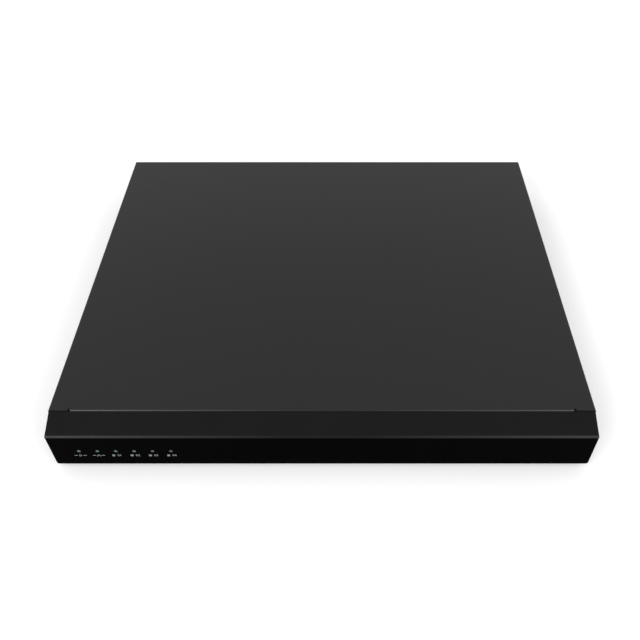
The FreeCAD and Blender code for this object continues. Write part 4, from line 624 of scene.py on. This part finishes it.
def mark_microphone(bits, plane, u, v, h):
    bits.prism(plane, rounded(u, v + h * 0.14, h * 0.34, h * 0.62, h * 0.16), INK_T)
    outer = circle(u, v + h * 0.08, h * 0.34, 11, math.pi, math.pi)
    inner = circle(u, v + h * 0.08, h * 0.25, 11, math.pi, math.pi)
    bits.prism(plane, outer + inner[::-1], INK_T)
    bits.line(plane, (u, v - h * 0.22), (u, v - h * 0.5), h * 0.1, INK_T)


def mark_direct_current(bits, plane, u, v, h):
    bits.line(plane, (u - h * 0.6, v + h * 0.15), (u + h * 0.6, v + h * 0.15), h * 0.13, INK_T)
    for du in (-0.45, 0, 0.45):
        bits.line(plane, (u + (du - 0.15) * h, v - h * 0.2), (u + (du + 0.15) * h, v - h * 0.2),
                  h * 0.13, INK_T)


def mark_earth(bits, plane, u, v, h):
    bits.line(plane, (u, v + h * 0.5), (u, v), h * 0.1, INK_T)
    for row, half in enumerate((0.45, 0.3, 0.14)):
        level = v - row * h * 0.2
        bits.line(plane, (u - half * h, level), (u + half * h, level), h * 0.1, INK_T)


def mark_stick(bits, plane, u, v, h):
    """A data plug on a short lead."""
    bits.band(plane, rounded(u, v - h * 0.05, h * 0.62, h * 0.5, h * 0.06),
              rounded(u, v - h * 0.05, h * 0.44, h * 0.32, h * 0.03), INK_T)
    bits.band(plane, rounded(u, v + h * 0.34, h * 0.42, h * 0.28, h * 0.03),
              rounded(u, v + h * 0.34, h * 0.26, h * 0.13, h * 0.02), INK_T)
    bits.line(plane, (u, v - h * 0.3), (u, v - h * 0.55), h * 0.12, INK_T)


def middle(name):
    lo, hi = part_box(name)
    return (lo + hi) / 2


def front_marks():
    """One small mark under each indicator light, with a number beside the four drive marks and
    dashes either side of the others.
    """
    bits = Bits("front_marks", INK, "print_grey")
    plane = plane_at(0, PANEL_Y, MARKS_Z, "front")
    shapes = (mark_power, mark_link, mark_disk, mark_disk, mark_disk, mark_disk)
    digits = ("", "", "01", "02", "03", "04")
    h = 2.5 * MM
    for (lo, hi), shape, number in zip(islands("light_guides"), shapes, digits):
        x = (lo.x + hi.x) / 2
        if number:
            shape(bits, plane, x - 2.8 * MM, 0, h)
            bits.text(plane, number, h, x + 2.0 * MM, 0, INK_T)
        else:
            shape(bits, plane, x, 0, h)
            for side in (-1, 1):
                dash = rounded(x + side * 3.6 * MM, 0, 2.6 * MM, 0.5 * MM, 0.2 * MM)
                bits.prism(plane, dash, INK_T)
    bits.done()


def rear_marks():
    bits = Bits("rear_marks", INK, "print_grey")
    plane = plane_at(0, Y_REAR, 0, "rear")
    jacks = [b for b in islands("jack_shells") if b[1].x - b[0].x > 8 * MM]
    columns = sorted({round((lo.x + hi.x) / 2, 4) for lo, hi in jacks}, reverse=True)
    rows = sorted({round((lo.z + hi.z) / 2, 4) for lo, hi in jacks})
    for i, x in enumerate(columns):
        bits.text(plane, str(i + 1), 2.0 * MM, -x, rows[1] + 8.3 * MM, INK_T)
        bits.text(plane, str(i + 9), 2.0 * MM, -x, rows[0] - 9.1 * MM, INK_T)
    phono = middle("audio_rings")
    mark_microphone(bits, plane, -phono.x, rows[1] + 8.0 * MM, 2.6 * MM)
    mark_speaker(bits, plane, -phono.x, rows[0] - 8.6 * MM, 2.6 * MM)
    for name, mark, lift in (("vga_shell", mark_screen, 4.0), ("hdmi_shell", mark_screen, 3.6),
                             ("usb_shell", mark_stick, 3.6), ("lan_shell", mark_link, 3.6),
                             ("esata_shell", mark_disk, 3.6)):
        lo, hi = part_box(name)
        mark(bits, plane, -(lo.x + hi.x) / 2, hi.z + lift * MM, 3.2 * MM)
    lo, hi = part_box("terminal_plug")
    pitch = (hi.x - lo.x) / 8
    for i in range(8):
        x = hi.x - pitch * (i + 0.5)
        bits.text(plane, str(i + 1), 1.7 * MM, -x, hi.z + 3.2 * MM, INK_T)
    power = middle("power_jack")
    mark_direct_current(bits, plane, -power.x, power.z + 9.0 * MM, 3.0 * MM)
    earth = max(islands("rear_hardware"), key=lambda b: b[0].z)
    mark_earth(bits, plane, 8.4 * MM - (earth[0].x + earth[1].x) / 2,
               (earth[0].z + earth[1].z) / 2, 4.0 * MM)
    bits.done()


def label(name, plane, w, h, bars):
    """A blank label with printed rules and a row of bars, but no words."""
    paper = Bits(name, ink(name + "_paper", (0.68, 0.68, 0.65)), "label_white")
    paper.prism(plane, rounded(0, 0, w, h, 1.2 * MM), INK_T)
    paper.done()
    rules = Bits(name + "_rules", ink(name + "_ink", (0.02, 0.02, 0.022)), "chip_black")
    plane = plane @ Matrix.Translation((0, 0, INK_T))
    for row in range(5):
        level = h * (0.36 - 0.14 * row)
        length = w * (0.38, 0.3, 0.34, 0.22, 0.28)[row]
        rules.line(plane, (-w * 0.44, level), (-w * 0.44 + length, level), h * 0.03, INK_T / 2)
    at = w * 0.04
    draw = random.Random(bars)
    while at < w * 0.42:
        wide = draw.choice((0.3, 0.5, 0.8)) * MM
        rules.prism(plane, [(at, -h * 0.36), (at + wide, -h * 0.36), (at + wide, -h * 0.02),
                            (at, -h * 0.02)], INK_T / 2)
        at += wide + draw.choice((0.3, 0.5, 0.9)) * MM
    rim = 0.6 * MM
    rules.band(plane, rounded(w * 0.23, h * 0.22, w * 0.38, h * 0.26, rim),
               rounded(w * 0.23, h * 0.22, w * 0.38 - rim, h * 0.26 - rim, 0.4 * MM), INK_T / 2)
    rules.done()


def drive_labels():
    for i, (lo, hi) in enumerate(islands("drive_lids")):
        plane = plane_at((lo.x + hi.x) / 2, lo.y + (hi.y - lo.y) * 0.36, hi.z, "top")
        label(f"drive_label_{i + 1}", plane, 62 * MM, 50 * MM, i + 11)


def underside_label():
    label("underside_label", plane_at(60 * MM, -20 * MM, Z_BASE, "under"), 70 * MM, 38 * MM, 5)


def rocker_marks():
    """A stroke and a ring on the two halves of the power rocker."""
    lo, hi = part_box("switch_rocker")
    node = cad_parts["switch_rocker"].data
    x = (lo.x + hi.x) / 2
    mid = (lo.z + hi.z) / 2
    bits = Bits("rocker_marks", ink("rocker_ink", (0.62, 0.62, 0.6)), "label_white", "power_rocker")
    for upper in (True, False):
        faces = [p for p in node.polygons if (p.center.z > mid) == upper and p.normal.y > 0.85]
        face = max(faces, key=lambda p: p.area)
        out = face.normal.normalized()
        right = Vector((-1, 0, 0))
        up = out.cross(right)
        turn = Matrix((right, up, out)).transposed().to_4x4()
        rows = [node.vertices[i].co for p in faces for i in p.vertices]
        level = (max(c.z for c in rows) + min(c.z for c in rows)) / 2
        level_y = face.center.y - (level - face.center.z) * out.z / out.y
        plane = Matrix.Translation((x, level_y, level)) @ turn
        if upper:
            bits.line(plane, (0, -1.5 * MM), (0, 1.5 * MM), 0.5 * MM, INK_T)
        else:
            bits.band(plane, circle(0, 0, 1.7 * MM), circle(0, 0, 1.25 * MM), INK_T)
    bits.done()


# ---- small parts of the main board ------------------------------------------
STANDING = ("jack_blocks", "board_chips", "capacitors", "inductors", "heatsink", "cell_holder",
            "board_headers", "board_sockets", "board_screws", "usb_shell", "lan_shell",
            "hdmi_shell", "esata_shell", "vga_insert", "power_jack", "terminal_header",
            "switch_frame")


def keep_outs(margin):
    found = []
    for name in STANDING:
        for lo, hi in islands(name):
            if lo.z < BOARD_TOP + 3 * MM and hi.z > BOARD_TOP:
                found.append((lo.x - margin, hi.x + margin, lo.y - margin, hi.y + margin))
    return found


PACKAGES = 28                   # eight-leg and sixteen-leg packages
CRYSTALS = 2
LEG_PITCH = 1.27 * MM
CHIP_PITCH = 1.6 * MM           # from one two-ended part to the next in its row


def board_parts():
    """Chip resistors, capacitors, small packages and crystals, in loose rows on the board."""
    draw = random.Random(41)
    taken = keep_outs(1.2 * MM)
    ends = Bits("chip_ends", SOLDER, "solder")
    dark = Bits("chip_resistors", CHIP, "chip_black")
    ceramic = moulded("ceramic_tan", (0.3, 0.2, 0.12), 0.4, 0.4)
    tan = Bits("chip_capacitors", ceramic, "white_plastic")
    legs = Bits("package_legs", SOLDER, "solder")
    body = Bits("small_packages", CHIP, "chip_black")
    cans = Bits("crystal_cans", NICKEL, "nickel")
    z = BOARD_TOP

    def clear(x, y, w, d):
        inside = (BOARD_LO.x + 3 * MM < x - w / 2 and x + w / 2 < BOARD_HI.x - 3 * MM
                  and BOARD_LO.y + 3 * MM < y - d / 2 and y + d / 2 < BOARD_HI.y - 3 * MM)
        return inside and not any(x - w / 2 < x1 and x + w / 2 > x0
                                  and y - d / 2 < y1 and y + d / 2 > y0
                                  for x0, x1, y0, y1 in taken)

    def claim(x, y, w, d, spare):
        taken.append((x - w / 2 - spare, x + w / 2 + spare,
                      y - d / 2 - spare, y + d / 2 + spare))

    def somewhere():
        return (draw.uniform(BOARD_LO.x, BOARD_HI.x), draw.uniform(BOARD_LO.y, BOARD_HI.y))

    placed = 0
    for _ in range(260):
        x, y = somewhere()
        count = draw.choice((4, 4, 8))
        w, d = count * LEG_PITCH + 0.4 * MM, 3.9 * MM
        if placed == PACKAGES or not clear(x, y, w, d + 2.4 * MM):
            continue
        placed += 1
        claim(x, y, w, d + 2.4 * MM, 1.0 * MM)
        body.around(x, y, z + 0.1 * MM, w, d, 1.4 * MM, 0.15 * MM)
        for i in range(count):
            leg = x + (i - (count - 1) / 2) * LEG_PITCH
            for side in (-1, 1):
                legs.around(leg, y + side * (d / 2 + 0.55 * MM), z, 0.4 * MM, 1.0 * MM, 0.18 * MM)
                legs.around(leg, y + side * (d / 2 + 0.12 * MM), z, 0.4 * MM, 0.24 * MM, 0.75 * MM)
    placed = 0
    for _ in range(40):
        x, y = somewhere()
        w, d = 11.0 * MM, 4.4 * MM
        if placed == CRYSTALS or not clear(x, y, w, d):
            continue
        placed += 1
        claim(x, y, w, d, 1.0 * MM)
        cans.around(x, y, z, w, d, 0.5 * MM, 0.1 * MM)
        cans.around(x, y, z + 0.45 * MM, w - 1.0 * MM, d - 1.0 * MM, 3.2 * MM, 0.8 * MM)
    for _ in range(420):
        x, y = somewhere()
        across = draw.random() < 0.5
        count = draw.randint(1, 6)
        kind = draw.choice((dark, dark, tan))
        for i in range(count):
            px, py = (x + i * CHIP_PITCH, y) if across else (x, y + i * CHIP_PITCH)
            w, d = (0.8 * MM, 1.6 * MM) if across else (1.6 * MM, 0.8 * MM)
            if not clear(px, py, w, d):
                break
            taken.append((px - w / 2, px + w / 2, py - d / 2, py + d / 2))
            tall = 0.45 * MM if kind is dark else 0.8 * MM
            bw, bd = (w, d * 0.66) if across else (w * 0.66, d)
            kind.around(px, py, z + 0.02 * MM, bw, bd, tall)
            for side in (-1, 1):
                shift = side * 0.68 * MM
                cx, cy = (px, py + shift) if across else (px + shift, py)
                cw, cd = (w * 1.04, 0.3 * MM) if across else (0.3 * MM, d * 1.04)
                ends.around(cx, cy, z, cw, cd, tall + 0.03 * MM)
    for bits in (ends, dark, tan, legs, body, cans):
        bits.done()


def video_chip_legs():
    """Gull-wing legs on all four sides of each square chip."""
    bits = Bits("video_chip_legs", SOLDER, "solder")
    pins = 20
    for lo, hi in islands("board_chips"):
        wide = hi.x - lo.x
        if wide < 12 * MM:
            continue
        cx, cy = (lo.x + hi.x) / 2, (lo.y + hi.y) / 2
        for i in range(pins):
            along = (i - (pins - 1) / 2) * 0.62 * MM
            for side in (-1, 1):
                for reach, long, tall in ((0.25, 0.5, 0.7), (0.9, 0.9, 0.16)):
                    out = side * (wide / 2 + reach * MM)
                    bits.around(cx + along, cy + out, BOARD_TOP, 0.26 * MM, long * MM, tall * MM)
                    bits.around(cx + out, cy + along, BOARD_TOP, long * MM, 0.26 * MM, tall * MM)
    bits.done()


def board_print():
    """White outlines printed round the chips."""
    bits = Bits("board_print", ink("board_ink", (0.6, 0.62, 0.58)), "label_white")
    plane = plane_at(0, 0, BOARD_TOP, "top")
    for name, margin in (("board_chips", 2.0), ("inductors", 0.8), ("board_headers", 0.8),
                         ("board_sockets", 0.8), ("cell_holder", 0.8), ("processor", 1.2)):
        for lo, hi in islands(name):
            if lo.z > BOARD_TOP + 0.5 * MM or lo.y - margin * MM < BOARD_LO.y or hi.y > BOARD_HI.y:
                continue
            u, v = (lo.x + hi.x) / 2, (lo.y + hi.y) / 2
            w, h = hi.x - lo.x + 2 * margin * MM, hi.y - lo.y + 2 * margin * MM
            bits.band(plane, rounded(u, v, w, h, 0.3 * MM),
                      rounded(u, v, w - 0.4 * MM, h - 0.4 * MM, 0.2 * MM), INK_T)
    bits.done()


def can_marks():
    """Black base plates and printed segments of the upright capacitors."""
    base = Bits("capacitor_bases", BLACK, "black_plastic")
    ink_bits = Bits("capacitor_marks", ink("can_ink", (0.01, 0.01, 0.012)), "chip_black")
    for lo, hi in islands("capacitors"):
        cx, cy, r = (lo.x + hi.x) / 2, (lo.y + hi.y) / 2, (hi.x - lo.x) / 2
        plane = plane_at(cx, cy, BOARD_TOP, "top")
        inner = circle(0, 0, r + 0.02 * MM, 20, math.pi / 4)
        outer = rounded(0, 0, 2 * r + 0.7 * MM, 2 * r + 0.7 * MM, 1.5 * MM)
        base.band(plane, outer, inner, 1.6 * MM)
        ink_bits.prism(plane_at(cx, cy, hi.z, "top"),
                       circle(0, 0, r - 0.7 * MM, 16, math.pi * 0.62, math.pi * 0.76), INK_T)
    base.done()
    ink_bits.done()


# ---- small parts of the wiring and the fans ---------------------------------
def cable_ties():
    """A nylon tie round each drive's four power wires."""
    bits = Bits("cable_ties", NYLON, "white_plastic")
    for lo, hi in islands("yellow_wires"):
        x = (lo.x + hi.x) / 2 + 6.0 * MM
        y = lo.y + (hi.y - lo.y) * 0.53
        low, high = hi.z - 3.0 * MM, hi.z + 1.9 * MM
        plane = plane_at(x, y, (low + high) / 2, "rear")
        w, h = 15.6 * MM, high - low
        bits.band(plane, rounded(0, 0, w, h, 2.0 * MM),
                  rounded(0, 0, w - 1.6 * MM, h - 1.6 * MM, 1.2 * MM), 2.5 * MM)
        bits.box((x + w / 2 - 1.0 * MM, y - 0.6 * MM, low),
                 (x + w / 2 + 2.4 * MM, y + 3.1 * MM, low + 4 * MM), 0.4 * MM)
    bits.done()


def plug_latches():
    """Sprung steel latches on top of the data cable plugs."""
    bits = Bits("plug_latches", STEEL, "screw_steel")
    for lo, hi in islands("drive_plugs"):
        if hi.x - lo.x > 12 * MM:
            continue
        x, y = (lo.x + hi.x) / 2, (lo.y + hi.y) / 2
        bits.box((x - 2.0 * MM, y - 4.0 * MM, hi.z),
                 (x + 2.0 * MM, y + 4.0 * MM, hi.z + 0.35 * MM), 0.1 * MM)
        bits.box((x - 1.2 * MM, y - 3.0 * MM, hi.z + 0.3 * MM),
                 (x + 1.2 * MM, y + 1.0 * MM, hi.z + 0.9 * MM), 0.15 * MM)
    bits.done()


def fan_labels():
    """A paper disc with plain rings on the front of each fan hub."""
    paper = ink("hub_paper", (0.5, 0.5, 0.48))
    dark = ink("hub_ink", (0.02, 0.02, 0.02))
    for body, node in (("left_fan", "left_fan_rotor"), ("right_fan", "right_fan_rotor")):
        lo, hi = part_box(node)
        plane = plane_at((lo.x + hi.x) / 2, lo.y, (lo.z + hi.z) / 2, "front")
        disc = Bits(node + "_label", paper, "label_white", body)
        disc.prism(plane, circle(0, 0, 8.4 * MM, 40), INK_T)
        disc.done()
        rings = Bits(node + "_rings", dark, "chip_black", body)
        plane = plane @ Matrix.Translation((0, 0, INK_T))
        rings.band(plane, circle(0, 0, 7.6 * MM, 40), circle(0, 0, 7.2 * MM, 40), INK_T / 2)
        for k in range(3):
            angle = math.radians(120 * k)
            spot = (4.6 * MM * math.cos(angle), 4.6 * MM * math.sin(angle))
            rings.prism(plane, rounded(*spot, 3.4 * MM, 0.7 * MM, 0.2 * MM), INK_T / 2)
        rings.done()


def network_lights():
    """Two small windows in the top corners of the network socket."""
    lo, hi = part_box("lan_shell")
    x, z = (lo.x + hi.x) / 2, (lo.z + hi.z) / 2
    for name, side, tint in (("network_light_1", 1, (0.05, 0.3, 0.06)),
                             ("network_light_2", -1, (0.4, 0.2, 0.02))):
        bits = Bits(name, moulded(name + "_tint", tint, 0.3, 0.5), "lamp_off")
        at = x + side * 5.6 * MM
        bits.box((at - 1.25 * MM, hi.y - 1.4 * MM, z + 4.4 * MM),
                 (at + 1.25 * MM, hi.y - 0.1 * MM, z + 6.0 * MM), 0.15 * MM)
        bits.done()


# ---- stage ------------------------------------------------------------------
FLOOR_HALF = 25.0               # far enough to reach the horizon in a low view
SKY = 0.9                       # strength of the even light from all round
LAMP_SIZE = (0.9, 0.5)
LAMP_AIM_Y = -0.15
LAMP_UP = 1.5


def floor():
    """A pale sheet with a slight glow, which keeps the shadow faint."""
    s = Surface("floor_paper", Roughness=0.8, Specular_IOR_Level=0.1,
                Emission_Color=(1, 1, 1, 1), Emission_Strength=0.12)
    s.colour(s.mix(s.band(s.noise(3, 2), 0.3, 0.7), (0.86, 0.86, 0.86), (0.88, 0.88, 0.88)))
    mesh = bmesh.new()
    corners = [mesh.verts.new((x * FLOOR_HALF, y * FLOOR_HALF, 0))
               for x, y in ((-1, -1), (1, -1), (1, 1), (-1, 1))]
    mesh.faces.new(corners)
    data = bpy.data.meshes.new("floor")
    mesh.to_mesh(data)
    mesh.free()
    data.materials.append(s.material)
    sheet = bpy.data.objects.new("floor", data)
    bpy.context.scene.collection.objects.link(sheet)


def lamp(name, place, aim, power):
    data = bpy.data.lights.new(name, "AREA")
    data.shape = "RECTANGLE"
    data.size, data.size_y = LAMP_SIZE
    data.energy = power
    made = bpy.data.objects.new(name, data)
    made.location = place
    way = Vector(aim) - Vector(place)
    made.rotation_euler = way.to_track_quat("-Z", "Y").to_euler()
    bpy.context.scene.collection.objects.link(made)


def lights():
    world = bpy.data.worlds.new("studio")
    world.use_nodes = True
    back = world.node_tree.nodes["Background"]
    back.inputs["Color"].default_value = (1, 1, 1, 1)
    back.inputs["Strength"].default_value = SKY
    bpy.context.scene.world = world
    bpy.context.scene.view_settings.view_transform = "Standard"
    lamp("front_left", (-1.05, -1.55, LAMP_UP), (-0.1, LAMP_AIM_Y, 0.04), 18)
    lamp("front_right", (1.25, -1.5, LAMP_UP), (0.1, LAMP_AIM_Y, 0.04), 12)


dress_all()
front_marks()
rear_marks()
drive_labels()
underside_label()
rocker_marks()
board_parts()
video_chip_legs()
board_print()
can_marks()
cable_ties()
plug_latches()
fan_labels()
network_lights()
floor()
lights()
make_camera()
